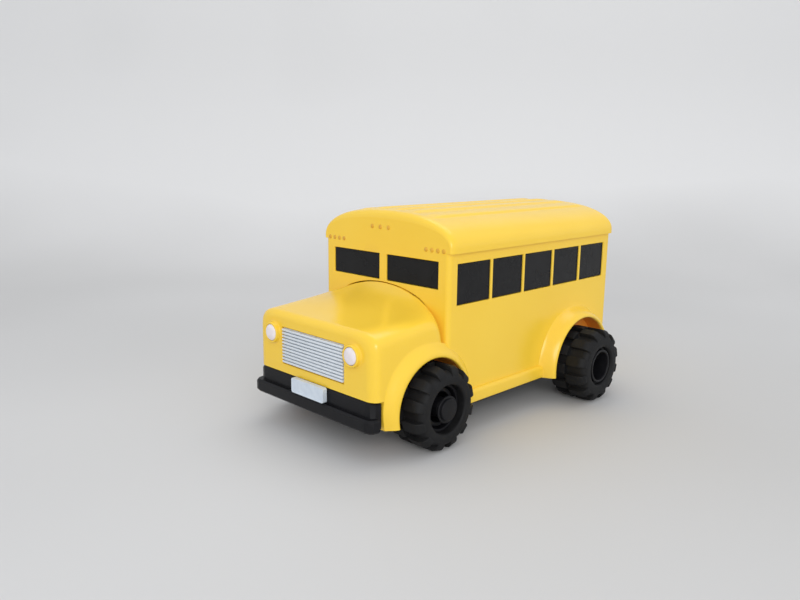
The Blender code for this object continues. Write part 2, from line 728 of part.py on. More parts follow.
def hollow_shell(shell):
    """Cut the inside, the arches, the windows and the seats, and add the screw posts."""
    bm = bmesh.new()
    add_box(bm, (-BODY_WIDTH, -length, -BODY_HEIGHT), (BODY_WIDTH, length, sill_z))
    boolean(shell, shape("below_sill", bm), "DIFFERENCE")
    bm = bmesh.new()
    add_box(bm, (-BODY_WIDTH, -length, sill_z - OVERCUT), (BODY_WIDTH, notch_y, hood_sill_z))
    boolean(shell, shape("bumper_notch", bm), "DIFFERENCE")

    bm = bmesh.new()
    inner_half = half_width - BODY_WALL
    outline = roof_outline(inner_half, ROOF_RISE - BODY_WALL, sill_z - OVERCUT)
    add_prism(bm, "Y", [outline], cab_y + BODY_WALL, tail_y - BODY_WALL)
    cavity = shape("cavity", bm)
    bm = bmesh.new()
    add_loft(bm, hood_rings(hood_y + BODY_WALL, cab_y + 2 * BODY_WALL, BODY_WALL, sill_z - 1.5 * OVERCUT))
    boolean(cavity, shape("hood_cavity", bm), "UNION")
    bm = bmesh.new()
    reach = half_width + OVERCUT
    for _, side in SIDES:
        add_rod(bm, "X", (0, front_arch_y, axle_z), side * front_tub_inner_x, side * reach,
                front_arch_r + BODY_WALL, 24)
        add_rod(bm, "X", (0, rear_arch_y, rear_arch_z), side * rear_tub_inner_x, side * reach,
                rear_arch_r + BODY_WALL, 24)
    boolean(cavity, shape("wheel_tubs", bm), "DIFFERENCE")
    boolean(shell, cavity, "DIFFERENCE")

    bm = bmesh.new()
    reach = half_width + REAR_FENDER_PROUD + OVERCUT
    for _, side in SIDES:
        add_rod(bm, "X", (0, front_arch_y, axle_z), side * front_tub_x, side * reach, front_arch_r, 24)
        add_rod(bm, "X", (0, rear_arch_y, rear_arch_z), side * rear_tub_x, side * reach, rear_arch_r, 24)
    boolean(shell, shape("arches", bm), "DIFFERENCE")

    bm = bmesh.new()
    slots = (
        (front_axle_y, front_tub_inner_x, front_tub_x, PIN_RADIUS),
        (rear_axle_y, rear_tub_inner_x, rear_tub_x, AXLE_RADIUS),
    )
    for _, side in SIDES:
        for y, inner, outer, radius in slots:
            outline = slot_outline((y, axle_z), radius + POST_GAP, SILL_DROP + OVERCUT)
            add_prism(bm, "X", [outline], side * (inner - FIT), side * (outer + FIT))
    boolean(shell, shape("axle_slots", bm), "DIFFERENCE")

    bm = bmesh.new()
    for frame in wall_frames().values():
        window_boxes(bm, 0, -OVERCUT, BODY_WALL + POST_GAP, frame)
    boolean(shell, shape("window_openings", bm), "DIFFERENCE")

    bm = bmesh.new()
    grille_z = sill_z + GRILLE_RISE
    add_box(bm, (-GRILLE_WIDTH / 2, hood_y - OVERCUT, grille_z),
            (GRILLE_WIDTH / 2, hood_y + GRILLE_SEAT, grille_z + GRILLE_HEIGHT))
    for _, side in SIDES:
        add_rod(bm, "Y", (side * HEADLIGHT_SPREAD / 2, 0, sill_z + HEADLIGHT_RISE), hood_y - OVERCUT,
                hood_y - HEADLIGHT_PROUD + HEADLIGHT_DEPTH, HEADLIGHT_RADIUS + FIT, 16)
    boolean(shell, shape("face_seats", bm), "DIFFERENCE")

    bm = bmesh.new()
    holes = bmesh.new()
    half, rise = half_width + ROOF_EAVE, ROOF_RISE
    rear_top = eave_z + roof_height(rear_screw_x + SCREW_BOSS_RADIUS, half, rise) - FIT
    for x, y, seat in screw_places():
        top = nose_z - BODY_WALL / 2 if y < 0 else rear_top
        low = seat + SILL_GAP
        add_rod(bm, "Z", (x, y, 0), low, top, SCREW_BOSS_RADIUS, 8)
        add_rod(holes, "Z", (x, y, 0), low - OVERCUT, low + SCREW_LENGTH, SCREW_RADIUS + FIT, 10)
    boolean(shell, shape("screw_posts", bm), "UNION")
    boolean(shell, shape("screw_pilots", holes), "DIFFERENCE")


def screw_places():
    """Where each chassis screw goes: x, y and the height of the chassis face that meets the post."""
    places = []
    for _, side in SIDES:
        places.append((side * FRONT_SCREW_X, band_rear_y + SCREW_BOSS_RADIUS + 2 * FIT, shelf_top))
        places.append((side * rear_screw_x, rear_y - REAR_SCREW_SETBACK, floor_top + REAR_SCREW_SEAT))
    return places


def build_inserts():
    """Dark plates behind the windows, each with pads that fill its openings."""
    for name, frame in wall_frames().items():
        corner, panes = frame
        back = BODY_WALL + FIT
        bm = bmesh.new()
        low = min(p[2] for p in panes) - PANE_LAP
        high = max(p[3] for p in panes) + PANE_LAP
        add_box(
            bm,
            corner(panes[0][0] - PANE_LAP, back, low),
            corner(panes[-1][1] + PANE_LAP, back + PANE_BACKING, high),
        )
        plate = shape(name, bm, DARK_PANE)
        bm = bmesh.new()
        window_boxes(bm, FIT, PANE_RECESS, back + PANE_BACKING / 2, frame)
        boolean(plate, shape(name + "_pads", bm), "UNION")


def build_face():
    """Grille, headlights and number plate."""
    pitch = (GRILLE_HEIGHT - 2 * FIT) / GRILLE_SLATS
    back = hood_y + GRILLE_SEAT - FIT
    crest = hood_y - GRILLE_SLAT_DEPTH
    base = sill_z + GRILLE_RISE + FIT
    outline = [(back, base)]
    for i in range(GRILLE_SLATS):
        low = base + i * pitch
        for y, share in ((hood_y, 0), (crest, 0.25), (crest, 0.7), (hood_y, 0.85)):
            outline.append((y, low + pitch * share))
    top = base + GRILLE_SLATS * pitch
    outline += [(hood_y, top), (back, top)]
    bm = bmesh.new()
    add_prism(bm, "X", [outline], -GRILLE_WIDTH / 2 + FIT, GRILLE_WIDTH / 2 - FIT)
    shape("grille_plate", bm, SILVER_FOIL)

    seat = HEADLIGHT_DEPTH - HEADLIGHT_PROUD - FIT
    face = -HEADLIGHT_PROUD
    for name, side in SIDES:
        profile = [(seat, 0), (seat, HEADLIGHT_RADIUS), (face, HEADLIGHT_RADIUS),
                   (face - HEADLIGHT_DOME * 0.7, HEADLIGHT_RADIUS * 0.7), (face - HEADLIGHT_DOME, 0)]
        turned("headlight_" + name, "Y", profile, LAMP_WHITE,
               (side * HEADLIGHT_SPREAD / 2, hood_y, sill_z + HEADLIGHT_RISE))

    bm = bmesh.new()
    low = bumper_z + BAR_HEIGHT + FIT
    front = hood_y - BAND_PROUD - FIT
    half = PLATE_WIDTH / 2
    back = front - PLATE_THICKNESS
    add_box(bm, (-half, back, low), (half, front, low + PLATE_HEIGHT), BUMPER_EDGE / 2, upright)
    shape("number_plate", bm, PLATE_WHITE)


def pan_ring(z, side_inset, end_inset):
    half, nose = pan_half - side_inset, pan_nose_half - end_inset
    front, rear = pan_front_y + end_inset, pan_rear_y - end_inset
    step = pan_step_y + end_inset
    right = [(nose, front), (nose, step), (half, step), (half, rear)]
    return [Vector((x, y, z)) for x, y in right] + [Vector((-x, y, z)) for x, y in reversed(right)]


def post_outline(low):
    return [
        (post_front_y, low),
        (post_rear_y, low),
        (post_rear_y, axle_z + POST_MARGIN),
        (post_crown_y, post_top),
        (post_front_y, post_top),
    ]


def add_bumper(bm, half, front, back, low, high):
    """Bar across the nose with rounded front corners and rounded upper and lower edges."""
    rings = []
    edge = BUMPER_EDGE
    for z, inset in ((low, edge), (low + edge, 0), (high - edge, 0), (high, edge)):
        right = []
        for degrees in (-90, -60, -30, 0):
            angle = math.radians(degrees)
            x = half - BUMPER_CORNER + (BUMPER_CORNER - inset) * math.cos(angle)
            right.append((x, front + BUMPER_CORNER + (BUMPER_CORNER - inset) * math.sin(angle)))
        right.append((half - inset, back))
        ring = right + [(-x, y) for x, y in reversed(right)]
        rings.append([Vector((x, y, z)) for x, y in ring])
    add_loft(bm, rings)


def build_chassis():
    """Black tub: pan, gear belly, bumper, bearing posts, cradles, battery box and switch seat."""
    bm = bmesh.new()
    add_loft(bm, [
        pan_ring(floor_z, RIM_CHAMFER_SIDE, RIM_CHAMFER / 2),
        pan_ring(floor_z + RIM_CHAMFER, 0, 0),
        pan_ring(rim_top, 0, 0),
    ])
    chassis = shape("chassis_base", bm, BLACK)
    bm = bmesh.new()
    add_loft(bm, [pan_ring(floor_top, RIM_WALL, RIM_WALL), pan_ring(rim_top + OVERCUT, RIM_WALL, RIM_WALL)])
    boolean(chassis, shape("pan_inside", bm), "DIFFERENCE")

    bm = bmesh.new()
    add_box(
        bm,
        (-belly_half_x - BELLY_WALL, rear_axle_y - belly_half_y - BELLY_WALL, belly_z),
        (belly_half_x + BELLY_WALL, rear_axle_y + belly_half_y + BELLY_WALL, floor_mid),
        BELLY_EDGE,
    )
    boolean(chassis, shape("belly", bm), "UNION")
    bm = bmesh.new()
    add_box(
        bm,
        (-belly_half_x, rear_axle_y - belly_half_y, belly_top),
        (belly_half_x, rear_axle_y + belly_half_y, floor_top + OVERCUT),
    )
    boolean(chassis, shape("belly_inside", bm), "DIFFERENCE")

    bm = bmesh.new()
    ramp = [
        (band_rear_y - SHELF, bumper_z),
        (pan_front_y - SHELF, bumper_z),
        (pan_front_y + SHELF / 3, floor_z + FLOOR / 4),
        (pan_front_y + SHELF, floor_mid),
        (pan_front_y, shelf_top),
        (band_rear_y - SHELF, shelf_top),
    ]
    add_prism(bm, "X", [ramp], -pan_nose_half + FIT, pan_nose_half - FIT)
    boolean(chassis, shape("nose_ramp", bm), "UNION")
    bm = bmesh.new()
    band_half = HOOD_WIDTH / 2 - BAND_INSET
    add_bumper(bm, band_half, hood_y - BAND_PROUD, band_rear_y, bumper_z + FIT, hood_sill_z - FIT)
    boolean(chassis, shape("bumper_band", bm), "UNION")
    bm = bmesh.new()
    bar_half = band_half + BAR_OVERHANG
    add_bumper(bm, bar_half, bumper_y, hood_y + BAND_DEPTH / 2, bumper_z, bumper_z + BAR_HEIGHT)
    boolean(chassis, shape("bumper_bar", bm), "UNION")

    bm = bmesh.new()
    for _, side in SIDES:
        add_prism(bm, "X", [post_outline(floor_mid)], side * outer_post_x, side * (outer_post_x - POST))
        add_prism(bm, "X", [post_outline(belly_z + BELLY_WALL / 2)], side * inner_post_x,
                  side * (inner_post_x - POST))
    boolean(chassis, shape("bearing_posts", bm), "UNION")

    bm = bmesh.new()
    wall = PIN_RADIUS + PIN_BOSS_WALL
    for _, side in SIDES:
        low, high = sorted((side * pin_boss_inner_x, side * pin_boss_x))
        add_box(bm, (low, front_axle_y - wall, floor_mid), (high, front_axle_y + wall, axle_z + wall))
        for x in cradle_places():
            low, high = sorted((side * x, side * (x + CRADLE)))
            add_box(bm, (low, motor_y - MOTOR_RADIUS, floor_mid), (high, motor_y + MOTOR_RADIUS, motor_z))
    rib = motor_back_x - POST_GAP
    add_box(bm, (-rib, motor_y - MOTOR_RADIUS, floor_mid), (rib, motor_y + MOTOR_RADIUS, post_top))
    half = BOARD_RIB / 2
    for y in board_ribs():
        add_box(bm, (-board_half_x, y - half, floor_mid), (board_half_x, y + half, board_z - FIT))
    for x, y, seat in screw_places():
        if y > 0:
            add_rod(bm, "Z", (x, y, 0), floor_mid, seat, SCREW_BOSS_RADIUS + FLOOR, 8)
    boolean(chassis, shape("chassis_bosses", bm), "UNION")

    bm = bmesh.new()
    add_box(
        bm,
        (-bay_half_x - BOX_WALL, bay_y - bay_half_y - BOX_WALL, floor_mid),
        (bay_half_x + BOX_WALL, bay_y + bay_half_y + BOX_WALL, bay_top + BOX_WALL),
    )
    boolean(chassis, shape("battery_box", bm), "UNION")
    bm = bmesh.new()
    ear_half = DOOR_EAR_WIDTH / 2
    add_box(
        bm,
        (bay_half_x + BOX_WALL / 2, bay_y - ear_half - BOX_WALL, floor_mid),
        (bay_half_x + BOX_WALL + DOOR_EAR, bay_y + ear_half + BOX_WALL, floor_top + DOOR_SCREW_BOSS),
    )
    boolean(chassis, shape("door_screw_boss", bm), "UNION")
    cut_chassis(chassis)


def cradle_places():
    return (motor_back_x + 2 * CRADLE, motor_front_x - 2 * CRADLE)


def board_ribs():
    return (board_front_y + SENSOR_SETBACK + 2 * SENSOR_RADIUS, board_rear_y - 2 * BOARD_RIB)


def sensor_y():
    return board_front_y + SENSOR_SETBACK


def cut_chassis(chassis):
    """Everything that is cut out of the tub: bores, the battery bay, sensor windows and screw holes."""
    bm = bmesh.new()
    for _, side in SIDES:
        add_rod(bm, "X", (0, rear_axle_y, axle_z), side * (inner_post_x - POST - OVERCUT),
                side * (outer_post_x + OVERCUT), AXLE_RADIUS + FIT, 12)
        add_rod(bm, "X", (0, cluster_y, cluster_z), side * (inner_post_x - POST - OVERCUT),
                side * (outer_post_x + OVERCUT), GEAR_PIN_RADIUS + RUN, 8)
        add_rod(bm, "X", (0, motor_y, motor_z), side * (motor_back_x - FIT), side * (motor_front_x + FIT),
                MOTOR_RADIUS + FIT, 16)
        add_rod(bm, "X", (0, front_axle_y, axle_z), side * (pin_boss_inner_x + BOX_WALL),
                side * (pin_boss_x + OVERCUT), PIN_RADIUS + RUN, 12)
    boolean(chassis, shape("chassis_bores", bm), "DIFFERENCE")

    bm = bmesh.new()
    add_box(
        bm,
        (-bay_half_x, bay_y - bay_half_y, floor_z - OVERCUT),
        (bay_half_x, bay_y + bay_half_y, bay_top),
    )
    boolean(chassis, shape("battery_bay", bm), "DIFFERENCE")
    bm = bmesh.new()
    ear_half = DOOR_EAR_WIDTH / 2 + FIT
    add_box(bm, (bay_half_x - BOX_WALL, bay_y - ear_half, floor_z - OVERCUT),
            (bay_half_x + DOOR_EAR + FIT, bay_y + ear_half, floor_top + FIT))
    boolean(chassis, shape("door_ear_seat", bm), "DIFFERENCE")

    bm = bmesh.new()
    tab_half = CONTACT_TAB_WIDTH / 2 + FIT
    for _, side in SIDES:
        low, high = sorted((side * (contact_x - FIT), side * (contact_x + CONTACT + FIT / 2)))
        add_box(bm, (low, bay_y - tab_half, bay_top - OVERCUT), (high, bay_y + tab_half, bay_top + OVERCUT))
        add_rod(bm, "Z", (side * SENSOR_SPREAD / 2, sensor_y(), 0), floor_z - OVERCUT, floor_top + OVERCUT,
                SENSOR_RADIUS + FIT, 12)
    slot_half_x = SLIDER_LENGTH / 2 + SLIDER_TRAVEL / 2 + FIT
    slot_half_y = SLIDER_WIDTH / 2 + FIT
    add_box(bm, (-slot_half_x, switch_y - slot_half_y, floor_z - OVERCUT),
            (slot_half_x, switch_y + slot_half_y, floor_top + OVERCUT))
    add_rod(bm, "Z", (door_screw_x(), bay_y, 0), floor_mid, floor_top + DOOR_SCREW_BOSS - BOX_WALL / 2,
            SMALL_SCREW_RADIUS + RUN, 10)
    add_rod(bm, "Z", (0, motor_y, 0), post_top - SMALL_SCREW_LENGTH - COVER, post_top + OVERCUT,
            SMALL_SCREW_RADIUS + RUN, 10)
    boolean(chassis, shape("chassis_openings", bm), "DIFFERENCE")

    heads = bmesh.new()
    shanks = bmesh.new()
    for x, y, seat in screw_places():
        low = bumper_z if y < 0 else floor_z
        add_rod(heads, "Z", (x, y, 0), low - OVERCUT, low + SCREW_HEAD + FIT, SCREW_HEAD_RADIUS + FIT, 10)
        add_rod(shanks, "Z", (x, y, 0), low, seat + OVERCUT, SCREW_RADIUS + FIT, 10)
    boolean(chassis, shape("screw_head_seats", heads), "DIFFERENCE")
    boolean(chassis, shape("screw_clearances", shanks), "DIFFERENCE")


def door_screw_x():
    return bay_half_x + DOOR_EAR / 2 + BOX_WALL / 2


def gear_loop(teeth, phase):
    """Involute gear outline in YZ. phase is the angle of one tooth's middle.

    A flank is drawn by its ends, and on a small gear, where it bends more, also at the pitch circle.
    """
    pitch_r = teeth * GEAR_MODULE / 2
    base_r = pitch_r * math.cos(PRESSURE_ANGLE)
    tip_r = pitch_r + GEAR_ADDENDUM * GEAR_MODULE
    root_r = pitch_r - GEAR_DEDENDUM * GEAR_MODULE

    def involute(angle):
        return math.tan(angle) - angle

    half_pitch = math.pi / (2 * teeth) - GEAR_BACKLASH / (2 * pitch_r)

    def half_angle(radius):
        if radius <= base_r:
            return half_pitch + involute(PRESSURE_ANGLE)
        return half_pitch + involute(PRESSURE_ANGLE) - involute(math.acos(base_r / radius))

    radii = [root_r, pitch_r, tip_r] if teeth < WHEEL_TEETH else [root_r, tip_r]
    tooth = [(-half_angle(r), r) for r in radii] + [(half_angle(r), r) for r in reversed(radii)]
    loop = []
    for i in range(teeth):
        middle = phase + 2 * math.pi * i / teeth
        for angle, radius in tooth:
            loop.append((radius * math.cos(middle + angle), radius * math.sin(middle + angle)))
    return loop


def tyre_ring(along, low, high, shift):
    """One ring of the tyre about X. Lug tops reach high, gaps drop to low, and shift moves the lugs on."""
    pitch = 2 * math.pi / TYRE_LUGS
    points = []
    for i in range(TYRE_LUGS):
        middle = -math.pi / 2 + (i + shift) * pitch
        foot = LUG_SHARE / 2 + LUG_FLANK
        steps = ((-LUG_SHARE / 2, high), (LUG_SHARE / 2, high), (foot, low), (1 - foot, low))
        for offset, radius in steps:
            angle = middle + offset * pitch
            points.append(Vector((along, radius * math.cos(angle), radius * math.sin(angle))))
    return points


def build_tyre(name, bore, parent):
    """Lugged tyre. The lugs of the two halves are half a pitch apart."""
    nearest = min(LUG_SHARE, 1 - LUG_SHARE) * math.pi / TYRE_LUGS
    corner = WHEEL_RADIUS / math.cos(nearest)
    carcass = WHEEL_RADIUS - LUG_HEIGHT
    side_r = carcass - TYRE_SIDEWALL_DROP
    half = WHEEL_WIDTH / 2
    shoulder = half - TYRE_SHOULDER
    middle = TREAD_SPLIT
    rings = [
        tyre_ring(-half, bore, bore, 0),
        tyre_ring(-half, side_r, side_r + LUG_HEIGHT / 3, 0),
        tyre_ring(-shoulder, carcass, corner, 0),
        tyre_ring(-middle, carcass, corner, 0),
        tyre_ring(middle, carcass, corner, 0.5),
        tyre_ring(shoulder, carcass, corner, 0.5),
        tyre_ring(half, side_r, side_r + LUG_HEIGHT / 3, 0.5),
        tyre_ring(half, bore, bore, 0.5),
    ]
    bm = bmesh.new()
    add_loft(bm, rings, closed=True)
    return shape(name, bm, RUBBER, (0, 0, 0), parent)


def build_front_wheels():
    """Free wheels on headed pins that press into the tub's bosses."""
    middle_x = front_outer_x - WHEEL_WIDTH / 2
    hub_in = -WHEEL_WIDTH / 2 + HUB_INSET
    hub_out = WHEEL_WIDTH / 2 - HUB_INSET
    head_back = pin_head_x - PIN_HEAD - middle_x
    boss_end = head_back - FIT
    bore = PIN_RADIUS + RUN
    rim_out = FRONT_TYRE_BORE - RUN
    for name, side in SIDES:
        axis = pivot("front_wheel_axis_" + name, (side * middle_x, front_axle_y, axle_z))
        build_tyre("front_tyre_" + name, FRONT_TYRE_BORE, axis)
        profile = [
            (hub_in, bore),
            (boss_end, bore),
            (boss_end, bore + HUB_BOSS_WALL),
            (hub_in + HUB_WEB, bore + HUB_BOSS_WALL),
            (hub_in + HUB_WEB, rim_out - HUB_RIM),
            (hub_out, rim_out - HUB_RIM),
            (hub_out, rim_out),
            (hub_in, rim_out),
        ]
        turned("front_hub_" + name, "X", profile, BLACK, (0, 0, 0), axis, side, 12)
        pin_in = pin_boss_inner_x + BOX_WALL + FIT
        head = pin_head_x
        pin = [
            (pin_in, 0),
            (pin_in, PIN_RADIUS),
            (head - PIN_HEAD, PIN_RADIUS),
            (head - PIN_HEAD, PIN_HEAD_RADIUS),
            (head - PIN_HEAD / 3, PIN_HEAD_RADIUS),
            (head, PIN_HEAD_RADIUS - PIN_HEAD / 3),
            (head, 0),
        ]
        turned("front_axle_pin_" + name, "X", pin, BLACK, (0, front_axle_y, axle_z), None, side, 12)


def build_drive():
    """Rear wheels, half axles, gear trains and motors."""
    middle_x = rear_inner_x + WHEEL_WIDTH / 2
    hub_in = -WHEEL_WIDTH / 2 + HUB_INSET
    hub_out = WHEEL_WIDTH / 2 - HUB_INSET
    rim_out = REAR_TYRE_BORE - RUN
    press_bore = AXLE_RADIUS + RUN
    first = FIRST_STAGE_ANGLE
    second = SECOND_STAGE_ANGLE
    pinion_pitch = 2 * math.pi / PINION_TEETH
    for name, side in SIDES:
        wheel_axis = pivot("rear_wheel_axis_" + name, (side * middle_x, rear_axle_y, axle_z))
        build_tyre("rear_tyre_" + name, REAR_TYRE_BORE, wheel_axis)
        hub = [
            (hub_in, press_bore),
            (hub_in + AXLE_PRESS, press_bore),
            (hub_in + AXLE_PRESS, press_bore + HUB_BOSS_WALL),
            (hub_in + HUB_WEB, press_bore + HUB_BOSS_WALL),
            (hub_in + HUB_WEB, rim_out - REAR_HUB_RIM),
            (hub_out, rim_out - REAR_HUB_RIM),
            (hub_out, rim_out),
            (hub_in, rim_out),
        ]
        turned("rear_hub_" + name, "X", hub, BLACK, (0, 0, 0), wheel_axis, side, 12)
        axle_out = hub_in + AXLE_PRESS - FIT
        axle_in = inner_post_x - POST - middle_x
        axle = [(axle_in, 0), (axle_in, AXLE_RADIUS), (axle_out, AXLE_RADIUS), (axle_out, 0)]
        turned("rear_axle_" + name, "X", axle, STEEL, (0, 0, 0), wheel_axis, side, 12)

        slow_in, slow_out = slow_layer_x - GEAR_FACE, slow_layer_x
        fast_in, fast_out = fast_layer_x - GEAR_FACE, fast_layer_x
        bm = bmesh.new()
        loops = [gear_loop(WHEEL_TEETH, first), circle(press_bore, 12)]
        add_prism(bm, "X", loops, side * (slow_in - middle_x), side * (slow_out - middle_x))
        shape("axle_gear_" + name, bm, GEAR_WHITE, (0, 0, 0), wheel_axis)

        cluster_axis = pivot("cluster_axis_" + name, (0, cluster_y, cluster_z))
        bm = bmesh.new()
        add_prism(bm, "X", [gear_loop(WHEEL_TEETH, second)], side * fast_in, side * fast_out)
        cluster = shape("compound_gear_" + name, bm, GEAR_WHITE, (0, 0, 0), cluster_axis)
        bm = bmesh.new()
        slow_phase = first + math.pi + pinion_pitch / 2
        add_prism(bm, "X", [gear_loop(PINION_TEETH, slow_phase)], side * slow_in,
                  side * (fast_in + GEAR_FACE / 4))
        boolean(cluster, shape("cluster_small_" + name, bm, None, (0, 0, 0), cluster_axis), "UNION")
        bm = bmesh.new()
        add_rod(bm, "X", (0, 0, 0), side * (slow_in - OVERCUT), side * (fast_out + OVERCUT),
                GEAR_PIN_RADIUS + RUN, 12)
        boolean(cluster, shape("cluster_bore_" + name, bm, None, (0, 0, 0), cluster_axis), "DIFFERENCE")
        pin_in, pin_out = inner_post_x - POST, outer_post_x
        pin = [(pin_in, 0), (pin_in, GEAR_PIN_RADIUS), (pin_out, GEAR_PIN_RADIUS), (pin_out, 0)]
        turned("gear_pin_" + name, "X", pin, STEEL, (0, cluster_y, cluster_z), None, side, 12)

        can = [
            (motor_back_x, 0),
            (motor_back_x, MOTOR_RADIUS - MOTOR_NOSE),
            (motor_back_x + MOTOR_CAP, MOTOR_RADIUS - MOTOR_NOSE),
            (motor_back_x + MOTOR_CAP, MOTOR_RADIUS),
            (motor_front_x, MOTOR_RADIUS),
            (motor_front_x, MOTOR_NOSE_RADIUS),
            (motor_front_x + MOTOR_NOSE, MOTOR_NOSE_RADIUS),
            (motor_front_x + MOTOR_NOSE, MOTOR_SHAFT_RADIUS + RUN),
            (motor_front_x - MOTOR_SHAFT_DEPTH, MOTOR_SHAFT_RADIUS + RUN),
            (motor_front_x - MOTOR_SHAFT_DEPTH, 0),
        ]
        turned("motor_" + name, "X", can, CELL_STEEL, (0, motor_y, motor_z), None, side, 12)
        motor_axis = pivot("motor_axis_" + name, (0, motor_y, motor_z))
        shaft_in, shaft_out = motor_front_x - MOTOR_SHAFT_DEPTH + FIT, fast_out + FIT
        radius = MOTOR_SHAFT_RADIUS
        shaft = [(shaft_in, 0), (shaft_in, radius), (shaft_out, radius), (shaft_out, 0)]
        turned("motor_shaft_" + name, "X", shaft, STEEL, (0, 0, 0), motor_axis, side, 12)
        bm = bmesh.new()
        pinion_phase = second + math.pi + pinion_pitch / 2
        loops = [gear_loop(PINION_TEETH, pinion_phase), circle(radius + RUN, 12)]
        add_prism(bm, "X", loops, side * fast_in, side * fast_out)
        shape("pinion_" + name, bm, GEAR_WHITE, (0, 0, 0), motor_axis)

    bm = bmesh.new()
    low = post_top + FIT
    half = outer_post_x - FIT
    add_box(bm, (-half, motor_y - MOTOR_RADIUS, low), (half, post_crown_y, low + COVER))
    cover = shape("gearbox_cover", bm, BLACK)
    bm = bmesh.new()
    for _, side in SIDES:
        low_x, high_x = sorted(side * x for x in cradle_places())
        add_box(bm, (low_x, motor_y - CRADLE / 2, motor_z + MOTOR_RADIUS + FIT),
                (high_x, motor_y + CRADLE / 2, low + COVER / 2))
    boolean(cover, shape("cover_ribs", bm), "UNION")
    bm = bmesh.new()
    add_rod(bm, "Z", (0, motor_y, 0), low - OVERCUT, low + COVER + OVERCUT, SMALL_SCREW_RADIUS + RUN, 10)
    boolean(cover, shape("cover_hole", bm), "DIFFERENCE")


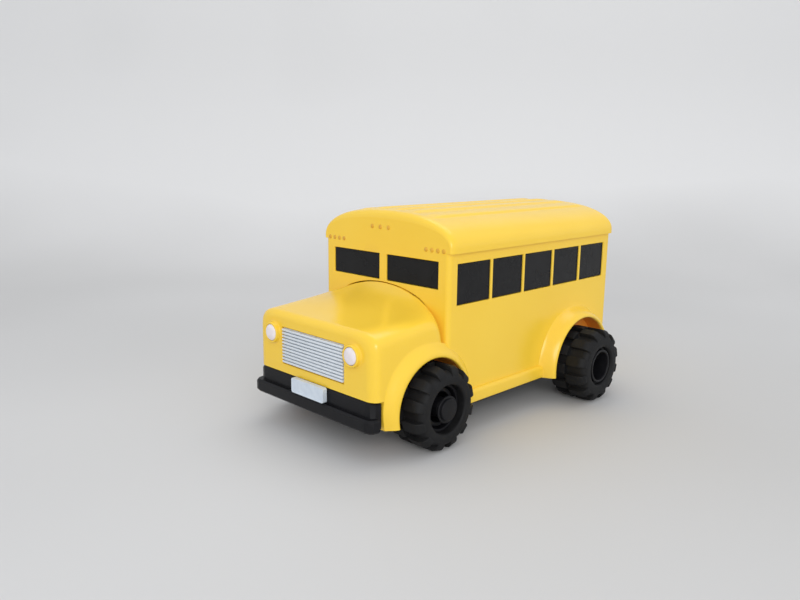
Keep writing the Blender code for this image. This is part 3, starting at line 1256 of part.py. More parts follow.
def build_electrics():
    """Cells, contacts, door, switch, circuit board and sensors."""
    pitch = CELL_HEIGHT + FIT
    radius = CELL_DIAMETER / 2
    half = CELL_HEIGHT / 2
    for i in range(CELL_COUNT):
        x = (i - (CELL_COUNT - 1) / 2) * pitch
        cell = [
            (-half, 0),
            (-half, radius - CELL_STEP - CELL_RIM),
            (-half + CELL_RIM, radius - CELL_STEP),
            (-half + CELL_RIM, radius),
            (half, radius),
            (half, 0),
        ]
        turned("battery_cell_" + str(i + 1), "X", cell, CELL_STEEL, (x, bay_y, cell_z))

    for name, side in (("positive", 1), ("negative", -1)):
        wide, narrow = CONTACT_WIDTH / 2, CONTACT_TAB_WIDTH / 2
        low, neck, top = floor_top + CELL_GAP, bay_top - CELL_GAP, bay_top + BOX_WALL + CONTACT_TAB
        outline = [
            (bay_y - wide, low),
            (bay_y + wide, low),
            (bay_y + wide, neck),
            (bay_y + narrow, neck),
            (bay_y + narrow, top),
            (bay_y - narrow, top),
            (bay_y - narrow, neck),
            (bay_y - wide, neck),
        ]
        bm = bmesh.new()
        add_prism(bm, "X", [outline], side * contact_x, side * (contact_x + CONTACT))
        shape("battery_contact_" + name, bm, STEEL)

    half_x, half_y = bay_half_x - FIT, bay_half_y - FIT
    ear_half = DOOR_EAR_WIDTH / 2
    ear_x = bay_half_x + DOOR_EAR
    outline = [(-half_x, bay_y - half_y), (half_x, bay_y - half_y), (half_x, bay_y - ear_half),
               (ear_x, bay_y - ear_half), (ear_x, bay_y + ear_half), (half_x, bay_y + ear_half),
               (half_x, bay_y + half_y), (-half_x, bay_y + half_y)]
    bm = bmesh.new()
    add_prism(bm, "Z", [outline], floor_z, floor_top)
    door = shape("battery_door", bm, BLACK)
    bm = bmesh.new()
    add_rod(bm, "Z", (door_screw_x(), bay_y, 0), floor_z - OVERCUT, floor_z + SMALL_SCREW_HEAD,
            SMALL_SCREW_HEAD_RADIUS + FIT, 10)
    boolean(door, shape("door_screw_seat", bm), "DIFFERENCE")
    bm = bmesh.new()
    add_rod(bm, "Z", (door_screw_x(), bay_y, 0), floor_z, floor_top + OVERCUT, SMALL_SCREW_RADIUS + RUN, 10)
    boolean(door, shape("door_screw_hole", bm), "DIFFERENCE")

    bm = bmesh.new()
    body_z = floor_top + FIT
    add_box(bm, (-SWITCH_LENGTH / 2, switch_y - SWITCH_WIDTH / 2, body_z),
            (SWITCH_LENGTH / 2, switch_y + SWITCH_WIDTH / 2, body_z + SWITCH_HEIGHT), FIT)
    switch = shape("switch_body", bm, STEEL)
    bm = bmesh.new()
    track_x = slider_flange_half + SLIDER_TRAVEL / 2 + FIT
    track_y = SLIDER_WIDTH / 2 + SLIDER_FLANGE + FIT
    track_top = body_z + SLIDER_FLANGE_HEIGHT + 2 * FIT
    add_box(bm, (-track_x, switch_y - track_y, body_z - OVERCUT), (track_x, switch_y + track_y, track_top))
    boolean(switch, shape("switch_track", bm), "DIFFERENCE")

    slider_x = -SLIDER_TRAVEL / 2
    slide = pivot("switch_slide", (slider_x, switch_y, floor_top))
    bm = bmesh.new()
    add_box(bm, (-slider_flange_half, -SLIDER_WIDTH / 2 - SLIDER_FLANGE, FIT),
            (slider_flange_half, SLIDER_WIDTH / 2 + SLIDER_FLANGE, FIT + SLIDER_FLANGE_HEIGHT))
    slider = shape("switch_slider", bm, BLACK, (0, 0, 0), slide)
    bm = bmesh.new()
    add_box(bm, (-SLIDER_LENGTH / 2, -SLIDER_WIDTH / 2, -FLOOR - SLIDER_PROUD),
            (SLIDER_LENGTH / 2, SLIDER_WIDTH / 2, FIT + SLIDER_FLANGE_HEIGHT / 2))
    boolean(slider, shape("slider_knob", bm, None, (0, 0, 0), slide), "UNION")

    bm = bmesh.new()
    outline = [(-board_half_x, board_front_y), (board_half_x, board_front_y), (board_half_x, board_rear_y),
               (-board_half_x, board_rear_y)]
    add_prism(bm, "Z", [outline], board_z, board_top)
    shape("circuit_board", bm, CIRCUIT_GREEN)

    chip_y = (board_front_y + board_rear_y) / 2
    bm = bmesh.new()
    low = board_top + 2 * FIT
    add_box(bm, (-CHIP_WIDTH / 2, chip_y - CHIP_LENGTH / 2, low),
            (CHIP_WIDTH / 2, chip_y + CHIP_LENGTH / 2, low + CHIP_HEIGHT))
    chip = shape("control_chip", bm, BLACK)
    bm = bmesh.new()
    for i in range(CHIP_LEGS):
        y = chip_y + (i - (CHIP_LEGS - 1) / 2) * CHIP_LEG_PITCH
        reach = CHIP_WIDTH / 2 + CHIP_LEG_REACH
        leg = [(-reach, board_top + FIT), (-CHIP_WIDTH / 3, low + CHIP_HEIGHT / 3),
               (CHIP_WIDTH / 3, low + CHIP_HEIGHT / 3), (reach, board_top + FIT),
               (reach, low + CHIP_HEIGHT / 4), (CHIP_WIDTH / 3, low + CHIP_HEIGHT * 0.6),
               (-CHIP_WIDTH / 3, low + CHIP_HEIGHT * 0.6), (-reach, low + CHIP_HEIGHT / 4)]
        add_prism(bm, "Y", [leg], y - CHIP_LEG_WIDTH / 2, y + CHIP_LEG_WIDTH / 2)
    boolean(chip, shape("chip_legs", bm), "UNION")

    for name, side in (("sensor_led", 1), ("sensor_phototransistor", -1)):
        tip, top = floor_z + SENSOR_RECESS, board_z - FIT
        lens = [
            (top, 0),
            (top, SENSOR_RADIUS + SENSOR_FLANGE),
            (top - SENSOR_FLANGE, SENSOR_RADIUS + SENSOR_FLANGE),
            (top - SENSOR_FLANGE, SENSOR_RADIUS),
            (tip + SENSOR_RADIUS, SENSOR_RADIUS),
            (tip + SENSOR_RADIUS * 0.3, SENSOR_RADIUS * 0.7),
            (tip, 0),
        ]
        material = CLEAR_RESIN if side > 0 else BLACK
        turned(name, "Z", lens, material, (side * SENSOR_SPREAD / 2, sensor_y(), 0), None, 1, 10)


def build_screws():
    """Chassis screws from below, and the small screws of the battery door and the gearbox cover."""
    names = ("front_left", "rear_left", "front_right", "rear_right")
    large = (SCREW_HEAD_RADIUS, SCREW_HEAD, SCREW_RADIUS, SCREW_LENGTH)
    for name, (x, y, _) in zip(names, screw_places()):
        low = bumper_z if y < 0 else floor_z
        add_screw("chassis_screw_" + name, (x, y, low), *large, 1)
    small = (SMALL_SCREW_HEAD_RADIUS, SMALL_SCREW_HEAD - FIT, SMALL_SCREW_RADIUS, SMALL_SCREW_LENGTH)
    add_screw("battery_door_screw", (door_screw_x(), bay_y, floor_z), *small, 1)
    cover_top = post_top + FIT + COVER + SMALL_SCREW_HEAD
    add_screw("gearbox_cover_screw", (0, motor_y, cover_top), *small, -1)


def add_screw(name, foot, head_radius, head, radius, reach, upwards):
    """Screw turned about Z, with its head at the foot and its tip the given way."""
    profile = [
        (0, 0),
        (0, head_radius),
        (head, head_radius),
        (head, radius),
        (reach - radius, radius),
        (reach, 0),
    ]
    turned(name, "Z", profile, STEEL, foot, None, upwards, 8)


def add_wire(name, points, material):
    """Insulated wire along a smooth route through the given points."""
    curve = bpy.data.curves.new(name, "CURVE")
    curve.dimensions = "3D"
    curve.bevel_depth = WIRE_RADIUS
    curve.bevel_resolution = 1
    curve.use_fill_caps = True
    spline = curve.splines.new("POLY")
    path = smooth_path([Vector(p) for p in points])
    spline.points.add(len(path) - 1)
    for point, co in zip(spline.points, path):
        point.co = (*co, 1)
    item = bpy.data.objects.new(name, curve)
    curve.materials.append(material)
    parts.objects.link(item)


def smooth_path(points, steps=2):
    """Catmull-Rom curve through points."""
    ends = [points[0] * 2 - points[1]] + points + [points[-1] * 2 - points[-2]]
    path = []
    for a, b, c, d in zip(ends, ends[1:], ends[2:], ends[3:]):
        for i in range(steps):
            t = i / steps
            square = 2 * a - 5 * b + 4 * c - d
            cube = 3 * b - a - 3 * c + d
            path.append((2 * b + (c - a) * t + square * t**2 + cube * t**3) / 2)
    path.append(points[-1])
    return path


def build_wires():
    """Motor, battery and switch leads, run over the battery box to the circuit board."""
    rise = WIRE_RADIUS + FIT
    motor_top = motor_z + MOTOR_RADIUS + rise
    over_box = bay_top + BOX_WALL + rise + FIT
    pad_z = board_top + FIT
    box_rear = bay_y + bay_half_y + BOX_WALL
    box_front = bay_y - bay_half_y - BOX_WALL
    lead = 3 * WIRE_RADIUS
    for name, side in SIDES:
        for pole, material, step in (("a", WIRE_RED, 0), ("b", WIRE_BLACK, 1)):
            x = side * (motor_back_x + MOTOR_CAP + lead * step)
            pad_y = board_rear_y - 2 * lead - lead * step * 2
            add_wire("motor_wire_" + name + "_" + pole, [
                (x, motor_y, motor_top),
                (x, motor_y - MOTOR_RADIUS, motor_top),
                (x, box_rear, over_box),
                (x, box_front, over_box),
                (x, pad_y, board_top + 2 * lead),
                (x, pad_y, pad_z),
            ], material)
    tab_z = bay_top + BOX_WALL + CONTACT_TAB + rise
    tab_x = contact_x + CONTACT / 2
    pad_x = board_half_x - lead
    add_wire("battery_wire_positive", [
        (tab_x, bay_y, tab_z),
        (tab_x, bay_y - bay_half_y, tab_z),
        (pad_x, box_front - lead, over_box),
        (pad_x, board_rear_y - 2 * lead, board_top + 2 * lead),
        (pad_x, board_rear_y - 2 * lead, pad_z),
    ], WIRE_RED)
    switch_top = floor_top + FIT + SWITCH_HEIGHT + FIT
    end_x = SWITCH_LENGTH / 2 - 2 * WIRE_RADIUS
    add_wire("battery_wire_negative", [
        (-tab_x, bay_y, tab_z),
        (-tab_x, bay_y + bay_half_y, tab_z),
        (-tab_x, switch_y, over_box),
        (-end_x, switch_y, switch_top + 3 * lead),
        (-end_x, switch_y, switch_top),
    ], WIRE_BLACK)
    lane = motor_back_x + MOTOR_CAP + 2 * lead
    add_wire("switch_wire", [
        (end_x, switch_y, switch_top),
        (end_x + lead, switch_y, switch_top + 3 * lead),
        (lane, box_rear, over_box),
        (lane, box_front, over_box),
        (lane, board_rear_y - 2 * lead, board_top + 2 * lead),
        (lane, board_rear_y - 2 * lead, pad_z),
    ], WIRE_BLACK)


hollow_shell(shell_outer())
build_inserts()
build_face()
build_chassis()
build_front_wheels()
build_drive()
build_electrics()
build_screws()
build_wires()
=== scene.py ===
import math

import bmesh
import bpy
from mathutils import Matrix, Vector


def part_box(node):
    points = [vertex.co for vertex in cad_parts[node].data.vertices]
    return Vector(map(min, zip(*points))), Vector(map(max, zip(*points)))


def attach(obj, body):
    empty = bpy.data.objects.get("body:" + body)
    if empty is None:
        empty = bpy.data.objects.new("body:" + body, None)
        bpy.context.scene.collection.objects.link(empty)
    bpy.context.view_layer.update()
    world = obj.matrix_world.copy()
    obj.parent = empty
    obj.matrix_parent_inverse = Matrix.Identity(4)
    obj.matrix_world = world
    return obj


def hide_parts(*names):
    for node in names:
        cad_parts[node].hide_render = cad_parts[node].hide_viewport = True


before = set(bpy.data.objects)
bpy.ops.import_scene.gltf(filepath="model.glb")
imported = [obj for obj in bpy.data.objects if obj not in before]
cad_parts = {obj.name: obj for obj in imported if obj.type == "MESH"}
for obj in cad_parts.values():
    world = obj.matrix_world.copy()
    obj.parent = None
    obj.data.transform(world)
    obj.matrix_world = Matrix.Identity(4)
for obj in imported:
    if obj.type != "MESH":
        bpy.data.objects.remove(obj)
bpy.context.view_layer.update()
scene = bpy.context.scene

# Cab walls: the sides, front and back of the yellow shell, injection moulded in one shot of ABS
# with square window openings. The shell drops over the black tub, and four screws hold it from
# below.
mm = 0.001
hair = 1e-7
close = 1e-6
square_on = 0.99
facing_share = 0.1
sideways, rearward, up = Vector((1, 0, 0)), Vector((0, 1, 0)), Vector((0, 0, 1))
wall = 1.2 * mm
cab_corner = 1.0 * mm
pane_recess = 0.2 * mm
pane_lap = 0.5 * mm
sill_z = 6.45 * mm
eave_z = 39.45 * mm
windshield_low, windshield_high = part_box("windshield_insert")
tail_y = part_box("rear_window_insert")[1].y + pane_recess
strip_low, strip_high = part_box("window_strip_left")
half_width = strip_high.x + pane_recess
cab_y = windshield_low.y - pane_recess
front_tyre_low, front_tyre_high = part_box("front_tyre_left")
front_axle = (front_tyre_low + front_tyre_high) / 2
rear_tyre_low, rear_tyre_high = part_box("rear_tyre_left")
rear_axle = (rear_tyre_low + rear_tyre_high) / 2
wheel_r = rear_axle.z
front_arch = Vector((0, front_axle.y - 0.5 * mm, front_axle.z))
front_arch_r = wheel_r + 1.3 * mm
rear_arch = Vector((0, rear_axle.y + 1.3 * mm, rear_axle.z - 0.7 * mm))
rear_arch_r = wheel_r + 2.7 * mm
front_cut_r = front_arch_r + 1.0 * mm
rear_cut_r = rear_arch_r + 0.8 * mm


def new_material(name):
    """Material with its node tree and its shader."""
    material = bpy.data.materials.new(name)
    material.use_nodes = True
    return material, material.node_tree, material.node_tree.nodes["Principled BSDF"]


def noise(tree, scale, detail, roughness=0.5):
    """Noise in the object's own coordinates."""
    place = tree.nodes.new("ShaderNodeTexCoord")
    made = tree.nodes.new("ShaderNodeTexNoise")
    for name, value in (("Scale", scale), ("Detail", detail), ("Roughness", roughness)):
        made.inputs[name].default_value = value
    tree.links.new(place.outputs["Object"], made.inputs["Vector"])
    return made.outputs["Fac"]


def two_tone(tree, source, low, dark, high, light):
    """Colour from dark to light, while the source runs from low to high."""
    ramp = tree.nodes.new("ShaderNodeValToRGB")
    for element, position, colour in zip(ramp.color_ramp.elements, (low, high), (dark, light)):
        element.position = position
        element.color = (*colour, 1)
    tree.links.new(source, ramp.inputs["Fac"])
    tree.links.new(ramp.outputs["Color"], tree.nodes["Principled BSDF"].inputs["Base Color"])


def vary_gloss(tree, source, low, high, polished, dull):
    """Roughness from polished to dull, while the source runs from low to high."""
    spread = tree.nodes.new("ShaderNodeMapRange")
    names = ("From Min", "From Max", "To Min", "To Max")
    for name, value in zip(names, (low, high, polished, dull)):
        spread.inputs[name].default_value = value
    tree.links.new(source, spread.inputs["Value"])
    tree.links.new(spread.outputs["Result"], tree.nodes["Principled BSDF"].inputs["Roughness"])


def relief(tree, source, strength, depth):
    """Bump the surface by the source, up to a depth."""
    bump = tree.nodes.new("ShaderNodeBump")
    bump.inputs["Strength"].default_value = strength
    bump.inputs["Distance"].default_value = depth
    tree.links.new(source, bump.inputs["Height"])
    tree.links.new(bump.outputs["Normal"], tree.nodes["Principled BSDF"].inputs["Normal"])


def yellow_plastic():
    """Glossy dyed ABS: a fine mould grain, a faint flow tint, and scuffs that dull the gloss."""
    material, tree, shader = new_material("yellow_abs")
    flow = noise(tree, scale=45, detail=3)
    scuffs = noise(tree, scale=120, detail=3)
    grain = noise(tree, scale=2600, detail=2)
    two_tone(tree, flow, low=0.3, dark=(0.92, 0.595, 0.044), high=0.7, light=(0.95, 0.63, 0.052))
    vary_gloss(tree, scuffs, low=0.35, high=0.75, polished=0.20, dull=0.27)
    relief(tree, grain, strength=0.05, depth=0.02 * mm)
    shader.inputs["IOR"].default_value = 1.5
    return material


shell = (yellow_plastic(), "bus_body", "yellow_plastic")
sharp_angle = math.radians(35)
many_corners = 9


def face_out(bm):
    """Turn all normals outward."""
    bmesh.ops.recalc_face_normals(bm, faces=bm.faces)


def put(name, bm, material, body, finish, *solids):
    """Smooth the mesh up to its sharp edges. It rides on a body, in place of its CAD solids."""
    face_out(bm)
    for face in bm.faces:
        face.smooth = len(face.verts) < many_corners
    for edge in bm.edges:
        if len(edge.link_faces) == 2:
            edge.smooth = edge.calc_face_angle() < sharp_angle
    mesh = bpy.data.meshes.new(name)
    bm.to_mesh(mesh)
    bm.free()
    mesh.materials.append(material)
    item = bpy.data.objects.new(name, mesh)
    scene.collection.objects.link(item)
    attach(item, body)
    if solids:
        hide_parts(*solids)


def cut_at(bm, faces, point, normal, clear=False):
    """Split faces along a plane through a point. clear takes away what lies beyond it."""
    geom = set(faces)
    for face in faces:
        geom.update(face.edges)
        geom.update(face.verts)
    bmesh.ops.bisect_plane(
        bm, geom=list(geom), dist=hair, plane_co=point, plane_no=normal, clear_outer=clear
    )


def cut_hole(bm, wall_faces, corners, facing):
    """Cut a convex hole in the faces that wall_faces() finds. facing is the way they look."""
    middle = sum(corners, Vector()) / len(corners)
    sides = []
    for first, second in zip(corners, corners[1:] + corners[:1]):
        out = (second - first).cross(facing).normalized()
        if out.dot(first - middle) < 0:
            out.negate()
        sides.append((first, out))
        cut_at(bm, wall_faces(), first, out)
    inside = []
    for face in wall_faces():
        place = face.calc_center_median()
        if all((place - point).dot(out) < 0 for point, out in sides):
            inside.append(face)
    bmesh.ops.delete(bm, geom=inside, context="FACES")


def cut_arch(bm, centre, radius, beyond):
    """Cut a round wheel opening in the sides that lie beyond a distance from the middle."""
    facets = 24

    def sides():
        """Faces of both sides."""
        outer = [f for f in bm.faces if abs(f.calc_center_median().x) > beyond]
        return [f for f in outer if abs(f.normal.x) > facing_share]

    turns = [2 * math.pi * i / facets for i in range(facets)]
    corners = [centre + Vector((0, math.cos(a), math.sin(a))) * radius for a in turns]
    cut_hole(bm, sides, corners, sideways)


def box(bm, low, high):
    """Box between two corners."""
    made = bmesh.ops.create_cube(bm, size=1)["verts"]
    low, high = Vector(low), Vector(high)
    bmesh.ops.scale(bm, vec=high - low, verts=made)
    bmesh.ops.translate(bm, vec=(high + low) / 2, verts=made)
    return made


def round_edges(bm, edges, offset, segments=3):
    """Give edges a round of an even section."""
    bmesh.ops.bevel(
        bm, geom=edges, offset=offset, segments=segments, profile=0.5, affect="EDGES", material=-1
    )


def faces_along(bm, axis):
    """Faces square to an axis: 0 for X, 1 for Y and 2 for Z."""
    return [f for f in bm.faces if abs(f.normal[axis]) > square_on]


bm = bmesh.new()
box(bm, (-half_width, cab_y, sill_z), (half_width, tail_y, eave_z))
bmesh.ops.delete(bm, geom=faces_along(bm, 2), context="FACES_ONLY")
posts = [e for e in bm.edges if abs(e.verts[0].co.z - e.verts[1].co.z) > wall]
round_edges(bm, posts, cab_corner, segments=5)

windows_across = 5
window_gap = 0.7 * mm
window_room = strip_high.y - strip_low.y - 2 * pane_lap
window_pitch = (window_room + window_gap) / windows_across
side_windows = []
for i in range(windows_across):
    start = strip_low.y + pane_lap + i * window_pitch
    side_windows.append((start, start + window_pitch - window_gap))
side_low, side_high = strip_low.z + pane_lap, strip_high.z - pane_lap
mullion = 2.16 * mm
front_windows = [
    (windshield_low.x + pane_lap, -mullion / 2),
    (mullion / 2, windshield_high.x - pane_lap),
]
front_low, front_high = windshield_low.z + pane_lap, windshield_high.z - pane_lap

for level in (side_low, side_high):
    cut_at(bm, faces_along(bm, 0), up * level, up)
for level in (front_low, front_high):
    cut_at(bm, faces_along(bm, 1), up * level, up)
for pane in side_windows:
    for y in pane:
        cut_at(bm, faces_along(bm, 0), rearward * y, rearward)
for pane in front_windows:
    for x in pane:
        cut_at(bm, faces_along(bm, 1), sideways * x, sideways)
openings = []
for face in bm.faces:
    middle = face.calc_center_median()
    if abs(face.normal.x) > square_on and side_low < middle.z < side_high:
        if any(low < middle.y < high for low, high in side_windows):
            openings.append(face)
    if abs(face.normal.y) > square_on and front_low < middle.z < front_high:
        if any(low < middle.x < high for low, high in front_windows):
            openings.append(face)
bmesh.ops.delete(bm, geom=openings, context="FACES")
cut_arch(bm, front_arch, front_cut_r, half_width - wall)
cut_arch(bm, rear_arch, rear_cut_r, half_width - wall)

hood_half = 18.5 * mm
shoulder_half = 13.2 * mm
nose_z = sill_z + 18.95 * mm
hood_sill_z = sill_z + 5.95 * mm
cowl_gap = 0.24 * mm
hood_climb = 1.6 * mm
cowl_climb = 1.6 * mm
hood_crown = 2.0 * mm
corner_drop = 3.2 * mm
cowl_drop = 7.9 * mm
nose_power, cowl_power_loss = 2.4, 1.15
edge_inward, edge_down = 1.3, 0.85
top_share, flank_share = 0.45, 0.8
corner_span, flank_span = 0.35, 0.2
dip_depth = 0.9 * mm
shoulder_ease = 0.06


def rear_dip(share):
    """How far the bonnet's back edge rolls in before the cab, most of all at its shoulders."""
    return dip_depth * min(abs(share) / top_share, 1) ** 2


def hood_point(share, along, inset):
    """Point across the bonnet. share is -1 at one lower edge, 0 at the crown and 1 at the other.
    along is 0 at the nose and 1 at the cab."""
    half, shoulder_x = hood_half - edge_inward * inset, shoulder_half - edge_inward * inset
    shoulder_z = nose_z + hood_climb * along + cowl_climb * along**10 - edge_down * inset
    crown = hood_crown * along**1.8
    sweep = along**12
    corner_z = shoulder_z - corner_drop - cowl_drop * sweep
    power = nose_power - cowl_power_loss * sweep
    far = abs(share)
    if far < top_share:
        out = far / top_share
        x, z = shoulder_x * out, shoulder_z + crown * (1 - out**2)
    elif far < flank_share:
        angle = math.pi / 2 * (flank_share - far) / corner_span
        x = shoulder_x + (half - shoulder_x) * math.cos(angle) ** (2 / power)
        z = corner_z + (shoulder_z - corner_z) * math.sin(angle) ** (2 / power)
    else:
        x, z = half, corner_z + (hood_sill_z - corner_z) * (far - flank_share) / flank_span
    return math.copysign(x, share), z


def hood_section(share, along, inset):
    """The same with its shoulder eased, as the mean of points on either side."""
    reach = min(shoulder_ease, 1 - abs(share))
    points = [hood_point(share + reach * step, along, inset) for step in (-1, -0.5, 0, 0.5, 1)]
    return sum(x for x, z in points) / len(points), sum(z for x, z in points) / len(points)


def front_faces(least=facing_share):
    """Faces of the cab's front that look forward by a least share."""
    forward = [f for f in bm.faces if f.normal.y < -least]
    return [f for f in forward if f.calc_center_median().y < cab_y + cab_corner]


face_out(bm)
hood_steps, flank_step = 20, 16
shares = [i / hood_steps for i in range(-flank_step, flank_step + 1)]
outline = [hood_section(share, 1, rear_dip(share) - cowl_gap) for share in shares]
corners = [Vector((x, cab_y, z)) for x, z in outline]
corners += [Vector((side * outline[-1][0], cab_y, 0)) for side in (1, -1)]
cut_hole(bm, front_faces, corners, rearward)
notch_z = front_arch.z + math.sqrt(front_cut_r**2 - (cab_y - front_arch.y) ** 2)
cut_at(bm, front_faces(square_on), up * notch_z, up)
strips = [f for f in front_faces(square_on) if f.calc_center_median().z < notch_z]
bmesh.ops.delete(bm, geom=strips, context="FACES")
face_out(bm)
bmesh.ops.dissolve_limit(bm, angle_limit=0.01, verts=bm.verts, edges=bm.edges)
bmesh.ops.solidify(bm, geom=bm.faces[:], thickness=wall)

rim_round = 0.12 * mm
rim_angle = 1


def opening_rims(bm):
    """Outer edges round the window openings."""
    rims = []
    for edge in bm.edges:
        if len(edge.link_faces) != 2 or edge.calc_face_angle() < rim_angle:
            continue
        middle = (edge.verts[0].co + edge.verts[1].co) / 2
        on_side = abs(abs(middle.x) - half_width) < close
        on_end = min(abs(middle.y - cab_y), abs(middle.y - tail_y)) < close
        if (on_side or on_end) and side_low - wall < middle.z < side_high + wall:
            rims.append(edge)
    return rims


round_edges(bm, opening_rims(bm), rim_round)
put("cab_walls", bm, *shell, "body_shell")

# Roof: the shell's arched top, moulded with it. It overhangs the walls in a thin lip, its front
# and back edges are rolled over, and shallow flutes stiffen the crown lengthwise.
roof_rise = 6.75 * mm
roof_lip = 0.75 * mm
roof_edge = 1.7 * mm
roof_power = 2.35
roof_tuck = 0.4
roof_front, roof_back = cab_y - 0.01 * mm, tail_y + 0.2 * mm
flute_pitch = 5.5 * mm
flute_height = 0.36 * mm
flute_half_width = 1.5 * mm
flute_setback = 1.8 * mm
flute_run_in = 3 * mm
flute_steepness = 2.5
flutes_aside = 2


def roll(row, rows):
    """Shares along and across a rolled edge, for a row of a grid that rolls over at its end."""
    angle = math.pi / 2 * min(row / rows, 1)
    return 1 - math.cos(angle), 1 - math.sin(angle)


def flute(x, y):
    """Height of the nearest flute over the plain roof."""
    nearest = round(x / flute_pitch)
    if abs(nearest) > flutes_aside:
        return 0
    across = abs(x - nearest * flute_pitch) / flute_half_width
    ends = min(y - roof_front, roof_back - y) - flute_setback
    if across > 1 or ends < 0:
        return 0
    run_in = min(ends / flute_run_in, 1)
    return flute_height * min((1 - across) * flute_steepness, 1) * run_in


bm = bmesh.new()
columns, rows, rolled = 240, 72, 6
bmesh.ops.create_grid(bm, x_segments=columns, y_segments=rows, size=1)
for vert in bm.verts:
    column = (vert.co.x + 1) / 2 * columns
    row = (vert.co.y + 1) / 2 * rows
    from_end = min(row, rows - row)
    along, inset = roll(from_end, rolled)
    depth = roof_edge * along
    if from_end > rolled:
        share = (from_end - rolled) / (rows / 2 - rolled)
        depth += share * ((roof_back - roof_front) / 2 - roof_edge)
    y = roof_front + depth if row < rows / 2 else roof_back - depth
    angle = math.pi * (column - 1) / (columns - 2)
    half = half_width + roof_lip - roof_tuck * roof_edge * inset
    rise = roof_rise - roof_edge * inset
    if column < 1 or column > columns - 1:
        vert.co = (half if column < 1 else -half, y, eave_z - roof_lip)
    else:
        cosine, sine = math.cos(angle), max(math.sin(angle), 0)
        x = half * math.copysign(abs(cosine) ** (2 / roof_power), cosine)
        vert.co = (x, y, eave_z + rise * sine ** (2 / roof_power) + flute(x, y))


def close_end(bm, y):
    """Fill the arched end of a shell that lies at one y, straight across its foot."""
    border = [e for e in bm.edges if e.is_boundary]
    rim = [e for e in border if all(abs(v.co.y - y) < hair for v in e.verts)]
    feet = [v for e in rim for v in e.verts if sum(v in other.verts for other in rim) == 1]
    bmesh.ops.edgenet_fill(bm, edges=rim + [bm.edges.new(feet)])


close_end(bm, roof_front)
close_end(bm, roof_back)
bmesh.ops.holes_fill(bm, edges=[e for e in bm.edges if e.is_boundary], sides=0)
put("roof", bm, *shell)

# Bonnet: the shell's nose, a box with a crowned top that sweeps up in a hollow curve to the
# windshield. Its back edge rolls in before the cab. Its face is flat, with a shallow seat for the
# grille and a raised bezel round each lamp.
grille_low, grille_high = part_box("grille_plate")
lamp_low, lamp_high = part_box("headlight_left")
grille_proud = 0.25 * mm
hood_y = grille_low.y + grille_proud
hood_edge = 1.8 * mm
hood_side = hood_half - 2 * mm
row_crowding = 1.4
dip_run = 2.6 * mm
grille_seat = 0.5 * mm
grille_gap = 0.25 * mm

bm = bmesh.new()
columns, rows, rolled = 120, 60, 8
bmesh.ops.create_grid(bm, x_segments=columns, y_segments=rows, size=1)
for vert in bm.verts:
    share = vert.co.x
    row = round((vert.co.y + 1) / 2 * rows)
    step, inset = roll(row, rolled)
    y = hood_y + hood_edge * step
    along = 0
    if row > rolled:
        left = 1 - (row - rolled) / (rows - 1 - rolled)
        along = 1 - left**row_crowding if row < rows else 1
        y += along * (cab_y - y)
    if row == rows:
        y = cab_y + wall
    near = min(1, max(0, 1 - (cab_y - y) / dip_run))
    dip = rear_dip(share) * (1 - math.sqrt(1 - near**2))
    x, z = hood_section(share, along, hood_edge * inset + dip)
    vert.co = (x, y, z)
close_end(bm, hood_y)
seat_low = Vector((grille_low.x - grille_gap, 0, grille_low.z - grille_gap))
seat_high = Vector((grille_high.x + grille_gap, 0, grille_high.z + grille_gap))


def faces_at(bm, axis, level):
    """Faces whose corners all lie at one level of an axis."""
    return [f for f in bm.faces if all(abs(v.co[axis] - level) < hair for v in f.verts)]


def sink(bm, faces, shift):
    """Push faces into the solid behind them."""
    made = bmesh.ops.extrude_face_region(bm, geom=faces)["geom"]
    sunk = [g for g in made if isinstance(g, bmesh.types.BMVert)]
    bmesh.ops.translate(bm, vec=shift, verts=sunk)
    bmesh.ops.delete(bm, geom=faces, context="FACES_ONLY")


for x in (seat_low.x, seat_high.x):
    cut_at(bm, faces_at(bm, 1, hood_y), sideways * x, sideways)
for z in (seat_low.z, seat_high.z):
    cut_at(bm, faces_at(bm, 1, hood_y), up * z, up)
seat = []
for face in faces_at(bm, 1, hood_y):
    middle = face.calc_center_median()
    if seat_low.x < middle.x < seat_high.x and seat_low.z < middle.z < seat_high.z:
        seat.append(face)
sink(bm, seat, (0, grille_seat, 0))
cut_arch(bm, front_arch, front_cut_r, hood_side)
face_out(bm)
bmesh.ops.solidify(bm, geom=bm.faces[:], thickness=wall)
put("bonnet", bm, *shell)

lamp_r = (lamp_high.x - lamp_low.x) / 2
lamp_x = (lamp_high.x + lamp_low.x) / 2
lamp_z = (lamp_high.z + lamp_low.z) / 2
bezel_proud = 1.0 * mm
bezel_width = 0.45 * mm
bezel_root = 0.6 * mm
bezel_foot = 0.35 * mm
bezel_round, bore_round = 0.2 * mm, 0.1 * mm
lamp_play = 0.05 * mm
both_sides = (("left", 1), ("right", -1))


def turn(bm, outline, axis, centre, steps=64):
    """Turn an outline of (along, radius) points about a line through centre. It's closed first,
    unless it starts and ends on that line."""
    axis, centre = Vector(axis), Vector(centre)
    side = axis.orthogonal().normalized()
    verts = [bm.verts.new(centre + axis * along + side * radius) for along, radius in outline]
    edges = [bm.edges.new((a, b)) for a, b in zip(verts, verts[1:])]
    if outline[0][1] > 0:
        edges.append(bm.edges.new((verts[-1], verts[0])))
    whole = 2 * math.pi
    bmesh.ops.spin(
        bm, geom=verts + edges, cent=centre, axis=axis, angle=whole, steps=steps, use_merge=True
    )
    bmesh.ops.remove_doubles(bm, verts=bm.verts, dist=hair)


def arc(middle, radius, start, end, steps=6):
    """Points of a round corner in an outline, between two angles in degrees."""
    points = []
    for i in range(steps + 1):
        angle = math.radians(start + (end - start) * i / steps)
        points.append((middle[0] + radius * math.cos(angle), middle[1] + radius * math.sin(angle)))
    return points


